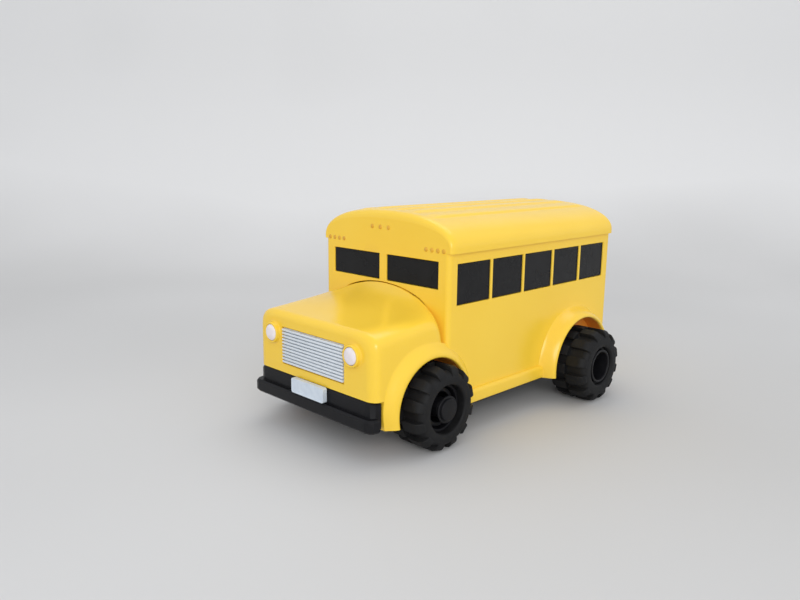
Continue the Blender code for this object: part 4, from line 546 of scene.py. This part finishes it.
rim = lamp_r + bezel_width
outline = [(-bezel_root, rim + bezel_foot), (0, rim + bezel_foot)]
outline += [(0.1 * mm, rim + 0.1 * mm), (0.3 * mm, rim)]
outline += arc((bezel_proud - bezel_round, rim - bezel_round), bezel_round, 90, 0)
outline += arc((bezel_proud - bore_round, lamp_r + 0.15 * mm), bore_round, 0, -90, 4)
outline += [(-bezel_root, lamp_r + lamp_play)]
for word, side in both_sides:
    bm = bmesh.new()
    turn(bm, outline, (0, -1, 0), (side * lamp_x, hood_y, lamp_z))
    put("lamp_bezel_" + word, bm, *shell)

# Marker lamps: little bumps moulded with the shell and touched with amber lacquer. Three are in a
# row on the brow, and four above each end of the windshield.


def amber_paint():
    """Thin amber lacquer on the bumps, worn unevenly so that the yellow shows through."""
    material, tree, shader = new_material("amber_lacquer")
    wear = noise(tree, scale=500, detail=2)
    two_tone(tree, wear, low=0.35, dark=(0.66, 0.34, 0.024), high=0.7, light=(0.78, 0.43, 0.030))
    relief(tree, wear, strength=0.1, depth=0.02 * mm)
    shader.inputs["Roughness"].default_value = 0.35
    return material


marker_r = 0.5 * mm
marker_proud = 0.18 * mm
marker_root = 0.4 * mm
marker_pitch = 1.6 * mm
brow_pitch, brow_shift = 2.5 * mm, 0.8 * mm
brow_z = eave_z + roof_rise - 3.6 * mm
corner_x = windshield_high.x - pane_lap - 1.8 * mm
corner_z = front_high + 2.2 * mm
spots = [(i * brow_pitch - brow_shift, roof_front, brow_z) for i in (-1, 0, 1)]
for side in (-1, 1):
    for i in (-1, 0, 1, 2):
        spots.append((side * (corner_x + i * marker_pitch), cab_y, corner_z))
outline = [(-marker_root, 0), (-marker_root, marker_r)]
for angle in (0, 0.3, 0.6, 0.9, 1.2, 1.4):
    outline.append((marker_proud * math.sin(angle), marker_r * math.cos(angle)))
outline += [(marker_proud, 0)]
bm = bmesh.new()
for spot in spots:
    turn(bm, outline, (0, -1, 0), spot, steps=24)
put("marker_lamps", bm, amber_paint(), "bus_body", "yellow_plastic")

# Wheel arches: flared rings moulded on the shell's sides, with a cup-shaped tub behind each wheel.
# The flare runs into the wall, its lip is rounded, and light through the thin tub turns orange.
flare = 2.7 * mm
flare_lip = 0.35 * mm
flare_hollow = 1.4
flare_steps = 24
front_swell = 1.2 * mm
swell_way, swell_focus = Vector((0, -0.7, 0.7)), 4
front_x, rear_x = half_width + 1.0 * mm, half_width + 3.4 * mm
mouth_setback = 0.6 * mm
mouth_taper = 1.5 * mm
mouth_edge = 0.2 * mm
cup_play = 0.03 * mm
front_tub_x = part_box("front_tyre_left")[0].x - 0.6 * mm
rear_tub_x = half_width - 0.8 * mm
front_hole, rear_hole = 1.8 * mm, 2.8 * mm


def trim_at_sill(bm):
    """Take away what hangs below the sill, and close the cut."""
    face_out(bm)
    cut_at(bm, bm.faces, up * sill_z, -up, clear=True)
    bmesh.ops.holes_fill(bm, edges=[e for e in bm.edges if e.is_boundary], sides=0)


def fender(name, side, centre, radius, wall_x, proud_x, swell):
    """Arch ring, spun about its own axis. Its back rolls up from the wall to the lip. swell is how
    much wider it gets at the upper front."""
    outline = [(wall_x - wall, radius + flare)]
    for i in range(flare_steps):
        rise = math.sin(math.pi / 2 * i / flare_steps) ** flare_hollow
        along = wall_x + (proud_x - wall_x) * rise
        outline.append((along, radius + flare - (flare - flare_lip) * i / flare_steps))
    outline += arc((proud_x - flare_lip, radius + flare_lip), flare_lip, 0, -90)
    outline += [(wall_x - wall, radius)]
    bm = bmesh.new()
    turn(bm, outline, (side, 0, 0), centre, steps=128)
    for vert in bm.verts:
        spoke = vert.co - Vector((vert.co.x, centre.y, centre.z))
        out = max(0, spoke.length - radius) / flare
        spoke.normalize()
        vert.co += spoke * swell * out * max(0, spoke.dot(swell_way)) ** swell_focus
    trim_at_sill(bm)
    put(name, bm, *shell)


def thin_tub():
    """The same yellow in shade, with light coming through it: orange with darker flow lines."""
    material, tree, shader = new_material("tub_inside")
    flow = noise(tree, scale=160, detail=4)
    two_tone(tree, flow, low=0.3, dark=(0.74, 0.24, 0.018), high=0.7, light=(0.86, 0.31, 0.026))
    relief(tree, flow, strength=0.1, depth=0.02 * mm)
    shader.inputs["Roughness"].default_value = 0.5
    return material


tub_orange = thin_tub()


def wheel_tub(name, side, centre, radius, proud_x, tub_x, hole):
    """Cup behind a wheel, with a hole for its axle."""
    cup = radius - cup_play
    mouth_x = proud_x - mouth_setback
    outline = [(mouth_x, cup), (tub_x, cup), (tub_x, hole), (tub_x - wall, hole)]
    outline += [(tub_x - wall, cup + wall), (mouth_x - mouth_taper, cup + wall)]
    outline += [(mouth_x, cup + mouth_edge)]
    bm = bmesh.new()
    turn(bm, outline, (side, 0, 0), centre, steps=96)
    trim_at_sill(bm)
    put(name, bm, tub_orange, "bus_body", "yellow_plastic")


for word, side in both_sides:
    front, rear = (side, front_arch, front_arch_r), (side, rear_arch, rear_arch_r)
    fender("front_arch_" + word, *front, hood_half, front_x, front_swell)
    fender("rear_arch_" + word, *rear, half_width, rear_x, 0)
    wheel_tub("front_tub_" + word, *front, front_x, front_tub_x, front_hole)
    wheel_tub("rear_tub_" + word, *rear, rear_x, rear_tub_x, rear_hole)

# Running boards: beads moulded along the foot of each side, between the arches. Their upper edge is
# well rounded, and the edge at the foot only a little.
board_proud = 0.9 * mm
board_height = 2.95 * mm
board_round = 0.85 * mm
board_foot = 0.35 * mm
for word, side in both_sides:
    bm = bmesh.new()
    inner, outer = half_width - wall / 2, half_width + board_proud
    start, end = front_arch.y + front_arch_r + wall, rear_arch.y - rear_arch_r
    low, high = sorted((side * inner, side * outer))
    box(bm, (low, start, sill_z), (high, end, sill_z + board_height))
    for level, rounding in ((sill_z + board_height, board_round), (sill_z, board_foot)):
        proud = [e for e in bm.edges if all(abs(v.co.x) > half_width for v in e.verts)]
        rim = [e for e in proud if all(abs(v.co.z - level) < hair for v in e.verts)]
        round_edges(bm, rim, rounding, segments=6)
    put("running_board_" + word, bm, *shell)

# Windows: smoky black plates of polystyrene, glued behind the openings with a pad in each of them.
# They're opaque, with a polished face.


def smoked_plate():
    """Polished black styrene with a faint wave and fine dust."""
    material, tree, shader = new_material("smoked_styrene")
    dust = noise(tree, scale=220, detail=1)
    wave = noise(tree, scale=120, detail=2)
    two_tone(
        tree, dust, low=0.45, dark=(0.006, 0.006, 0.0065), high=0.85, light=(0.010, 0.010, 0.011)
    )
    vary_gloss(tree, dust, low=0.4, high=0.8, polished=0.27, dull=0.31)
    relief(tree, wave, strength=0.08, depth=0.1 * mm)
    shader.inputs["Specular IOR Level"].default_value = 0.22
    return material


smoked = smoked_plate()
pane_gap = 0.1 * mm
plate_thick = 0.8 * mm
pane_border = 0.2 * mm
pane_step = 0.1 * mm


def rounded_box(bm, low, high, rounding):
    """Box between two corners with all its edges rounded."""
    made = box(bm, low, high)
    round_edges(bm, list({e for v in made for e in v.link_edges}), rounding)


def glazing(name, panes, low, high, place):
    """Backing plate with a rounded pad for each opening. place turns (along, depth, height) to a
    point."""
    bm = bmesh.new()
    back = wall + pane_gap

    def span(*ends):
        """Lowest and highest corner between two opposite ones."""
        first, second = (place(*end) for end in ends)
        return tuple(map(min, first, second)), tuple(map(max, first, second))

    first = (panes[0][0] - pane_lap, back, low - pane_lap)
    last = (panes[-1][1] + pane_lap, back + plate_thick, high + pane_lap)
    box(bm, *span(first, last))
    for start, end in panes:
        first = (start + pane_gap, pane_recess, low + pane_gap)
        last = (end - pane_gap, back + plate_thick / 2, high - pane_gap)
        rounded_box(bm, *span(first, last), rim_round)
    outward = Vector(place(0, 0, 0)) - Vector(place(0, 1, 0))
    skin = Vector(place(0, pane_recess, 0)).dot(outward)
    pads = [f for f in bm.faces if abs(f.calc_center_median().dot(outward) - skin) < hair]
    bmesh.ops.inset_individual(bm, faces=pads, thickness=pane_border, depth=0)
    bmesh.ops.inset_individual(bm, faces=pads, thickness=pane_step, depth=-pane_step)
    put(name, bm, smoked, "bus_body", "dark_pane", name)


end_panes = (front_windows, front_low, front_high)
glazing("windshield_insert", *end_panes, lambda a, d, h: (a, cab_y + d, h))
glazing("rear_window_insert", *end_panes, lambda a, d, h: (a, tail_y - d, h))
side_panes = (side_windows, side_low, side_high)
glazing("window_strip_left", *side_panes, lambda a, d, h: (half_width - d, a, h))
glazing("window_strip_right", *side_panes, lambda a, d, h: (d - half_width, a, h))

# Grille: a moulded plate with level slats, foil-stamped in pale silver. It's pressed into the
# bonnet's seat, and its slats stand a little proud of the nose.


def silver_print():
    """Pale silver stamped on plastic, with darker thin spots at random where the dark shows
    through.
    """
    material, tree, shader = new_material("silver_stamping")
    wear = noise(tree, scale=1400, detail=5)
    two_tone(tree, wear, low=0.3, dark=(0.66, 0.71, 0.75), high=0.6, light=(0.74, 0.78, 0.82))
    relief(tree, wear, strength=0.15, depth=0.02 * mm)
    shader.inputs["Roughness"].default_value = 0.34
    shader.inputs["Metallic"].default_value = 0.1
    return material


silver = silver_print()
slats = 11
slat_pitch = (grille_high.z - grille_low.z) / slats
slat_start, slat_end = 0.18, 0.82
slat_round = 0.09 * mm
slat_root, groove_floor = hood_y + 0.4 * mm, hood_y + 0.38 * mm
bm = bmesh.new()
box(bm, (grille_low.x, groove_floor, grille_low.z), grille_high)
for i in range(slats):
    foot = grille_low.z + i * slat_pitch
    low = (grille_low.x, grille_low.y, foot + slat_pitch * slat_start)
    high = (grille_high.x, slat_root, foot + slat_pitch * slat_end)
    rounded_box(bm, low, high, slat_round)
put("grille_plate", bm, silver, "bus_body", "silver_foil", "grille_plate")

# Headlights: white styrene buttons with a domed face. Each is pressed through its bezel into a seat
# in the nose.


def lamp_plastic(name, pale, deep, roughness):
    """Pale styrene with a cloudy tint and a fine grain."""
    material, tree, shader = new_material(name)
    cloud = noise(tree, scale=700, detail=4)
    two_tone(tree, cloud, low=0.35, dark=deep, high=0.65, light=pale)
    relief(tree, cloud, strength=0.1, depth=0.02 * mm)
    shader.inputs["Roughness"].default_value = roughness
    shader.inputs["Subsurface Weight"].default_value = 0.15
    shader.inputs["Subsurface Radius"].default_value = (1, 0.9, 0.85)
    shader.inputs["Subsurface Scale"].default_value = 0.5 * mm
    return material


lamp_white = lamp_plastic("lamp_styrene", (0.86, 0.80, 0.82), (0.80, 0.73, 0.74), 0.25)
lamp_depth = 0.1 * mm
shaft_r, dome_r = lamp_r - 0.02 * mm, lamp_r - 0.05 * mm
dome_steps = 9
for word, side in both_sides:
    low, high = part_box("headlight_" + word)
    bm = bmesh.new()
    seat = hood_y - high.y
    face = bezel_proud - lamp_depth
    dome = hood_y - low.y
    outline = [(seat, 0), (seat, shaft_r), (face, shaft_r)]
    for i in range(1, dome_steps):
        angle = math.pi / 2 * i / dome_steps
        outline.append((face + (dome - face) * math.sin(angle), dome_r * math.cos(angle)))
    outline += [(dome, 0)]
    turn(bm, outline, (0, -1, 0), (side * lamp_x, hood_y, lamp_z), steps=48)
    put("headlight_" + word, bm, lamp_white, "bus_body", "lamp_white", "headlight_" + word)

# Number plate: a blank white tab with rounded corners and a sunk panel. It stands on the bumper
# bar, pressed into the band behind it.
plate_white = lamp_plastic("plate_styrene", (0.66, 0.73, 0.80), (0.60, 0.67, 0.75), 0.35)
plate_low, plate_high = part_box("number_plate")
plate_trim = Vector((0.35 * mm, 0, 0))
plate_corner = 0.45 * mm
plate_border, plate_sunk = 0.28 * mm, 0.08 * mm
bm = bmesh.new()
box(bm, plate_low + plate_trim, plate_high - plate_trim)
posts = [e for e in bm.edges if abs(e.verts[0].co.y - e.verts[1].co.y) > close]
round_edges(bm, posts, plate_corner, segments=5)
front = [f for f in bm.faces if f.normal.y < -square_on]
bmesh.ops.inset_region(bm, faces=front, thickness=plate_border, depth=0)
bmesh.ops.inset_region(bm, faces=front, thickness=plate_sunk, depth=-plate_sunk)
put("number_plate", bm, plate_white, "bus_body", "plate_white", "number_plate")

# Tub and bumper: one black polypropylene moulding under the shell. The bumper is its front end, and
# its floor carries the motors, gears, cells and circuit board. Edges have a mould's small radius.


def black_plastic(name, dark, light, roughness):
    """Moulded black plastic with a spark-eroded grain and pale rubbed spots."""
    material, tree, shader = new_material(name)
    rub = noise(tree, scale=380, detail=7, roughness=0.65)
    grain = noise(tree, scale=3200, detail=3)
    two_tone(tree, rub, low=0.4, dark=dark, high=0.8, light=light)
    vary_gloss(tree, rub, low=0.3, high=0.8, polished=roughness, dull=roughness + 0.2)
    relief(tree, grain, strength=0.15, depth=0.03 * mm)
    shader.inputs["Specular IOR Level"].default_value = 0.2
    return material


black = black_plastic("black_polypropylene", (0.005, 0.005, 0.006), (0.010, 0.010, 0.012), 0.35)


def dress(name, material, edge=0.0):
    """Give a CAD solid its material, and a mould radius on its edges where one is named."""
    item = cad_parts[name]
    item.data.materials.clear()
    item.data.materials.append(material)
    weld = item.modifiers.new("join_facets", "WELD")
    weld.merge_threshold = close
    if edge:
        flat = item.modifiers.new("plain_faces", "DECIMATE")
        flat.decimate_type = "DISSOLVE"
        flat.angle_limit = math.radians(1)
        round_edge = item.modifiers.new("mould_radius", "BEVEL")
        round_edge.width = edge
        round_edge.segments = 2
        round_edge.limit_method = "ANGLE"
        round_edge.angle_limit = math.radians(40)


for name in ("chassis_base", "gearbox_cover", "battery_door"):
    dress(name, black, edge=0.1 * mm)
for name in ("switch_slider", "control_chip", "sensor_phototransistor"):
    dress(name, black, edge=0.04 * mm)

# Tyres: soft black rubber rings with two rows of chunky lugs, half a pitch apart, that wrap over
# the shoulders. They're stretched over the wheel hubs.


def tyre_rubber():
    """Matt black rubber with a dusty bloom and a fine moulded grain."""
    material, tree, shader = new_material("tyre_rubber")
    bloom = noise(tree, scale=300, detail=8, roughness=0.7)
    grain = noise(tree, scale=2400, detail=5)
    two_tone(
        tree, bloom, low=0.35, dark=(0.006, 0.006, 0.0062), high=0.8, light=(0.016, 0.016, 0.0165)
    )
    vary_gloss(tree, bloom, low=0.3, high=0.7, polished=0.5, dull=0.75)
    relief(tree, grain, strength=0.35, depth=0.04 * mm)
    shader.inputs["Specular IOR Level"].default_value = 0.22
    return material


rubber = tyre_rubber()
lugs = 12
lug_height = 1.0 * mm
lug_share = 0.5
lug_start = 0.15 * mm
lug_round = 0.2 * mm
lug_root, lug_draft = 1.3 * lug_height, 0.97
tread_share, wrap_share = 0.55, 0.45
wrap_angle = math.radians(80)
wrap_drop = 1.75 * mm
bead = 0.6 * mm
carcass_r = wheel_r - lug_height
tyre_half = (rear_tyre_high.x - rear_tyre_low.x) / 2
lug_end = tyre_half + 0.02 * mm
shoulder = tyre_half - 1.7 * mm
sidewall_r = carcass_r - 1.2 * mm


def lug_path(share):
    """(distance from the tread's middle, radius) of a lug's top, from its inner end over the
    shoulder."""
    if share < tread_share:
        return lug_start + (shoulder - lug_start) * share / tread_share, wheel_r
    angle = (share - tread_share) / wrap_share * wrap_angle
    reach = lug_end - shoulder
    return shoulder + reach * math.sin(angle), wheel_r - wrap_drop * (1 - math.cos(angle))


def add_lug(bm, middle, side):
    """One block of the tread, on one half of the tyre, at an angle about the axle."""
    grid = bmesh.ops.create_grid(bm, x_segments=12, y_segments=4, size=1)["verts"]
    faces = list({f for v in grid for f in v.link_faces})
    half_angle = math.pi / lugs * lug_share
    for vert in grid:
        share, across = (vert.co.x + 1) / 2, vert.co.y
        along, radius = lug_path(share)
        angle = middle + across * half_angle
        flat = radius / math.cos(across * half_angle)
        vert.co = (side * along, flat * math.cos(angle), flat * math.sin(angle))
    rim = {e for f in faces for e in f.edges if e.is_boundary}
    walls = bmesh.ops.extrude_edge_only(bm, edges=list(rim))["geom"]
    for vert in (g for g in walls if isinstance(g, bmesh.types.BMVert)):
        radius = math.hypot(vert.co.y, vert.co.z)
        shrink = (radius - lug_root) / radius
        vert.co = (vert.co.x * lug_draft, vert.co.y * shrink, vert.co.z * shrink)
    round_edges(bm, list(rim), lug_round)


def tyre(name, centre, bore, body):
    """Carcass turned about the axle, with its two rows of lugs."""
    bm = bmesh.new()
    for side, shift in ((-1, 0), (1, 0.5)):
        for i in range(lugs):
            add_lug(bm, -math.pi / 2 + (i + shift) * 2 * math.pi / lugs, side)
    outline = [(-shoulder, carcass_r), (shoulder, carcass_r)]
    for angle in (0.25, 0.5, 0.75, 1.0, 1.25, 1.5):
        along = shoulder + (tyre_half - shoulder) * math.sin(angle)
        outline.append((along, sidewall_r + (carcass_r - sidewall_r) * math.cos(angle)))
    outline += arc((tyre_half - bead, bore + bead), bead, 0, -90, 5)
    outline += [(-along, radius) for along, radius in reversed(outline[2:])]
    turn(bm, outline, (1, 0, 0), (0, 0, 0), steps=144)
    bmesh.ops.translate(bm, vec=centre, verts=bm.verts)
    put(name, bm, rubber, body, "tyre_rubber", name)


def mirror(point, side):
    """A point of the left side, or its mirror image on the right."""
    return Vector((side * point.x, point.y, point.z))


front_bore = 5.0 * mm
rear_bore = 4.6 * mm
for word, side in both_sides:
    tyre("front_tyre_" + word, mirror(front_axle, side), front_bore, "front_wheel_" + word)
    tyre("rear_tyre_" + word, mirror(rear_axle, side), rear_bore, "rear_drive_" + word)

# Front hubs and pins: black plastic spools with a boss and a raised ring, set back in the tyre's
# mouth. They spin on headed pins, which are pressed into the tub.
hub_round = 0.2 * mm
hub_nick = 0.1 * mm
tyre_play, axle_play = 0.1 * mm, 0.1 * mm
web_thick = 1.6 * mm
pin_r = 1.2 * mm
head, head_r = 0.9 * mm, 2.8 * mm
head_gap = 0.15 * mm
pin_low, pin_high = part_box("front_axle_pin_left")
tip = pin_high.x + 0.5 * mm
for word, side in both_sides:
    low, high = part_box("front_hub_" + word)
    reach = (high.x - low.x) / 2
    rim_out = front_bore - tyre_play
    rim_in = rim_out - 0.55 * mm
    web = -reach + web_thick
    boss = pin_high.x - head - head_gap - front_axle.x
    ring = boss - 1.2 * mm
    lip = reach - 1.5 * mm
    bore = pin_r + axle_play
    outline = [(-reach, bore), (boss, bore)]
    outline += arc((boss - hub_round, bore + 0.6 * mm), hub_round, 0, 90, 4)
    outline += arc((web + 0.3 * mm, bore + 1.1 * mm), 0.3 * mm, 270, 180, 4)
    outline += [(web, rim_in - 1.3 * mm), (ring - hub_nick, rim_in - 1.2 * mm)]
    outline += [(ring, rim_in - 1.1 * mm), (ring, rim_in - 0.5 * mm)]
    outline += [(ring - hub_nick, rim_in - 0.4 * mm)]
    outline += arc((ring - 0.9 * mm, rim_in - hub_round), hub_round, 180, 90, 4)
    outline += arc((lip - hub_round, rim_in + hub_round), hub_round, 270, 360, 4)
    outline += [(lip, rim_out), (-reach, rim_out)]
    bm = bmesh.new()
    turn(bm, outline, (side, 0, 0), mirror(front_axle, side), steps=96)
    put("front_hub_" + word, bm, black, "front_wheel_" + word, "black_plastic", "front_hub_" + word)

    outline = [(pin_low.x, 0), (pin_low.x, pin_r - 0.3 * mm), (pin_low.x + 0.4 * mm, pin_r)]
    outline += [(tip - head, pin_r), (tip - head, head_r - hub_nick)]
    outline += [(tip - head + hub_nick, head_r)]
    outline += arc((tip - 0.65 * mm, head_r - 0.15 * mm), 0.15 * mm, 90, 0, 3)
    outline += [(tip - 0.5 * mm, head_r - 0.5 * mm)]
    outline += arc((tip - 0.25 * mm, head_r - 0.8 * mm), 0.25 * mm, 90, 0, 5)
    outline += [(tip, 0)]
    bm = bmesh.new()
    turn(bm, outline, (side, 0, 0), (0, front_axle.y, front_axle.z), steps=64)
    put("front_axle_pin_" + word, bm, black, "bus_body", "black_plastic", "front_axle_pin_" + word)

# Rear hubs: deeper black spools with a small boss and a thick rim. They're pressed on the steel
# half axles that the gears drive.
axle_r = 0.9 * mm
for word, side in both_sides:
    low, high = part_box("rear_hub_" + word)
    reach = (high.x - low.x) / 2
    rim_out = rear_bore - tyre_play
    rim_in = rim_out - 1.1 * mm
    web = -reach + web_thick
    boss = -reach + 4.3 * mm
    groove = reach - 0.8 * mm
    bore = axle_r + axle_play
    outline = [(-reach, bore), (boss, bore)]
    outline += arc((boss - hub_round, bore + 0.55 * mm), hub_round, 0, 90, 4)
    outline += [(web, bore + 0.75 * mm), (web, rim_in)]
    outline += arc((reach - hub_round, rim_in + hub_round), hub_round, 270, 360, 4)
    outline += arc((reach - hub_round, rim_in + 0.45 * mm), hub_round, 0, 90, 4)
    outline += [(groove, rim_in + 0.75 * mm), (groove, rim_out), (-reach, rim_out)]
    bm = bmesh.new()
    turn(bm, outline, (side, 0, 0), mirror(rear_axle, side), steps=96)
    put("rear_hub_" + word, bm, black, "rear_drive_" + word, "black_plastic", "rear_hub_" + word)

# Drive: steel half axles and pins, nylon gears, and a can motor on each side. All of it is inside
# the tub, and the motors lie in cradles under the gearbox cover.


def bright_metal(name, dark, light, roughness, grain_scale):
    """Drawn or plated steel with fine drawing lines and faint tarnish."""
    material, tree, shader = new_material(name)
    lines = noise(tree, scale=grain_scale, detail=6)
    stretch = tree.nodes.new("ShaderNodeMapping")
    stretch.inputs["Scale"].default_value = (1, 8, 8)
    coordinates = lines.node.inputs["Vector"]
    tree.links.new(coordinates.links[0].from_socket, stretch.inputs["Vector"])
    tree.links.new(stretch.outputs["Vector"], coordinates)
    two_tone(tree, lines, low=0.3, dark=dark, high=0.7, light=light)
    vary_gloss(tree, lines, low=0, high=1, polished=roughness, dull=roughness + 0.15)
    shader.inputs["Metallic"].default_value = 1
    return material


steel = bright_metal("drawn_steel", (0.45, 0.45, 0.46), (0.62, 0.62, 0.63), 0.28, 900)
nickel = bright_metal("nickel_plate", (0.58, 0.57, 0.55), (0.72, 0.71, 0.69), 0.2, 500)
nylon = lamp_plastic("gear_nylon", (0.82, 0.81, 0.76), (0.74, 0.72, 0.66), 0.45)
for word in ("left", "right"):
    for part in ("rear_axle_", "gear_pin_", "motor_shaft_"):
        dress(part + word, steel)
    for part in ("axle_gear_", "compound_gear_", "pinion_"):
        dress(part + word, nylon)
    dress("motor_" + word, nickel, edge=0.08 * mm)

# Cells, contacts, switch and screws: nickel-plated button cells between sprung steel contacts, a
# pressed-steel slide switch, and steel self-tapping screws with a cross recess.
recess_share = 0.7
slot_share, cross_share = 0.13, 0.55


def cross_screw(name, head_r, head, shank_r, way):
    """Screw along Z with a cross recess. way is 1 if it points up and -1 if it points down."""
    low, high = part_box(name)
    foot = (low + high) / 2
    foot.z = low.z if way > 0 else high.z
    reach = high.z - low.z
    brow = head / 3
    outline = [(0, 0)]
    outline += arc((brow, head_r - brow), brow, 180, 90, 4)
    outline += [(head, head_r), (head, shank_r), (reach - shank_r, shank_r), (reach, 0)]
    bm = bmesh.new()
    turn(bm, outline, (0, 0, way), foot, steps=48)
    half_slot, half_cross = slot_share * head_r, cross_share * head_r
    for axis in (sideways, rearward):
        for offset in (-half_cross, -half_slot, half_slot, half_cross):
            cut_at(bm, faces_at(bm, 2, foot.z), foot + axis * offset, axis)
    recess = []
    for face in faces_at(bm, 2, foot.z):
        across, along = sorted(abs(c) for c in (face.calc_center_median() - foot).xy)
        if across < half_slot and along < half_cross:
            recess.append(face)
    sink(bm, recess, (0, 0, way * recess_share * head))
    put(name, bm, steel, "bus_body", "steel", name)


for i in (1, 2, 3):
    dress("battery_cell_" + str(i), nickel, edge=0.08 * mm)
for name in ("battery_contact_positive", "battery_contact_negative", "switch_body"):
    dress(name, steel, edge=0.05 * mm)
for name in ("front_left", "front_right", "rear_left", "rear_right"):
    cross_screw("chassis_screw_" + name, head_r=1.7 * mm, head=0.6 * mm, shank_r=0.85 * mm, way=1)
cross_screw("battery_door_screw", head_r=1.2 * mm, head=0.3 * mm, shank_r=0.65 * mm, way=1)
cross_screw("gearbox_cover_screw", head_r=1.2 * mm, head=0.3 * mm, shank_r=0.65 * mm, way=-1)

# Electronics: a small green glass-fibre board with the driver chip on top, and the lamp and light
# sensor that read the line through two holes in the floor. Wires run to it over the cell box.
board = black_plastic("solder_mask", (0.012, 0.12, 0.04), (0.03, 0.22, 0.08), 0.3)
resin = lamp_plastic("clear_resin", (0.80, 0.81, 0.84), (0.70, 0.72, 0.76), 0.12)
red_sleeve = lamp_plastic("red_sleeve", (0.55, 0.020, 0.015), (0.42, 0.012, 0.010), 0.45)
black_sleeve = black_plastic("black_sleeve", (0.014, 0.014, 0.015), (0.03, 0.03, 0.03), 0.45)
dress("circuit_board", board, edge=0.05 * mm)
dress("sensor_led", resin)
for name in ("motor_wire_left_a", "motor_wire_right_a", "battery_wire_positive"):
    dress(name, red_sleeve)
for name in ("motor_wire_left_b", "motor_wire_right_b", "battery_wire_negative", "switch_wire"):
    dress(name, black_sleeve)

# Floor: a white sheet that curves up behind the toy, as on a small photo table. It's turned square
# to the photograph's view.


def white_sheet():
    """Off-white cloth in soft uneven tones, with painted light that makes it paler up where it
    hangs.
    """
    material, tree, shader = new_material("white_sheet")
    place = tree.nodes.new("ShaderNodeTexCoord")
    parts = tree.nodes.new("ShaderNodeSeparateXYZ")
    # Painted light: the sheet's colour gets paler with height, up the part that hangs behind.
    painted_light_rise = tree.nodes.new("ShaderNodeMapRange")
    painted_light_rise.inputs["From Max"].default_value = 0.05
    painted_light_rise.inputs["To Max"].default_value = 0.5
    both = tree.nodes.new("ShaderNodeMath")
    link = tree.links.new
    link(place.outputs["Object"], parts.inputs["Vector"])
    link(parts.outputs["Z"], painted_light_rise.inputs["Value"])
    link(noise(tree, scale=4, detail=2), both.inputs[0])
    link(painted_light_rise.outputs["Result"], both.inputs[1])
    tone = both.outputs["Value"]
    two_tone(tree, tone, low=0.3, dark=(0.515, 0.51, 0.50), high=0.95, light=(0.70, 0.695, 0.685))
    shader.inputs["Roughness"].default_value = 0.7
    return material


azimuth = math.radians(44.91)
half_length, front_run, half_sheet = 0.6, 0.3, 0.8
bend_start, bend_r = 0.16, 0.16
lean = math.radians(75)
bm = bmesh.new()
sheet = bmesh.ops.create_grid(bm, x_segments=2, y_segments=60, size=1)["verts"]
for vert in sheet:
    run = (vert.co.y + 1) * half_length - front_run
    bend = max(0, run - bend_start)
    vert.co = (vert.co.x * half_sheet, run, 0)
    if bend > 0:
        angle = min(bend / bend_r, lean)
        rest = max(0, bend - bend_r * lean)
        vert.co.y = bend_start + bend_r * math.sin(angle) + rest * math.cos(lean)
        vert.co.z = bend_r * (1 - math.cos(angle)) + rest * math.sin(lean)
bmesh.ops.rotate(bm, cent=(0, 0, 0), matrix=Matrix.Rotation(azimuth, 3, "Z"), verts=sheet)
for face in bm.faces:
    face.smooth = True
sheet_mesh = bpy.data.meshes.new("floor_sheet")
bm.to_mesh(sheet_mesh)
bm.free()
sheet_mesh.materials.append(white_sheet())
floor_sheet = bpy.data.objects.new("floor_sheet", sheet_mesh)
scene.collection.objects.link(floor_sheet)

# Light: a wide soft lamp overhead, a second one at the front left, and a pale surround that fills
# the shadows.
world = bpy.data.worlds.new("pale_room")
world.use_nodes = True
surround = world.node_tree.nodes["Background"].inputs
surround["Color"].default_value = (0.80, 0.82, 0.86, 1)
surround["Strength"].default_value = 1.0
scene.view_settings.view_transform = "Standard"
scene.world = world


def soft_lamp(name, place, target, size, power):
    """Round area lamp that looks at a target."""
    data = bpy.data.lights.new(name, "AREA")
    data.shape = "DISK"
    data.size = size
    data.energy = power
    lamp = bpy.data.objects.new(name, data)
    lamp.location = place
    lamp.rotation_euler = (Vector(target) - Vector(place)).to_track_quat("-Z", "Y").to_euler()
    scene.collection.objects.link(lamp)


bus_middle = (0, 0, 0.02)
soft_lamp("overhead_lamp", (-0.10, 0.20, 0.60), bus_middle, size=0.5, power=0.75)
soft_lamp("front_lamp", (0.48, -0.38, 0.26), bus_middle, size=0.4, power=1.5)

# Camera: the photograph's view, a little above the bus and off its front left corner. The angles,
# the distance and the lens are fitted to places measured on the photo.
view_distance = 160.92 * mm
elevation, tilt = math.radians(11.49), math.radians(0.59)
target = Vector((-0.03, -15.32, 25.99)) * mm
sensor_width, focal_pixels, photo_width = 36, 721.27, 800
level = math.cos(elevation)
back = Vector((math.sin(azimuth) * level, -math.cos(azimuth) * level, math.sin(elevation)))
across = Vector((math.cos(azimuth), math.sin(azimuth), 0))
above = back.cross(across)
right = across * math.cos(tilt) + above * math.sin(tilt)
upward = above * math.cos(tilt) - across * math.sin(tilt)
camera_data = bpy.data.cameras.new("photo_camera")
camera_data.sensor_width = sensor_width
camera_data.lens = sensor_width * focal_pixels / photo_width
camera_data.clip_start = 1 * mm
camera = bpy.data.objects.new("photo_camera", camera_data)
turned = Matrix((right, upward, back)).transposed().to_4x4()
camera.matrix_world = Matrix.Translation(target + back * view_distance) @ turned
scene.collection.objects.link(camera)
scene.camera = camera
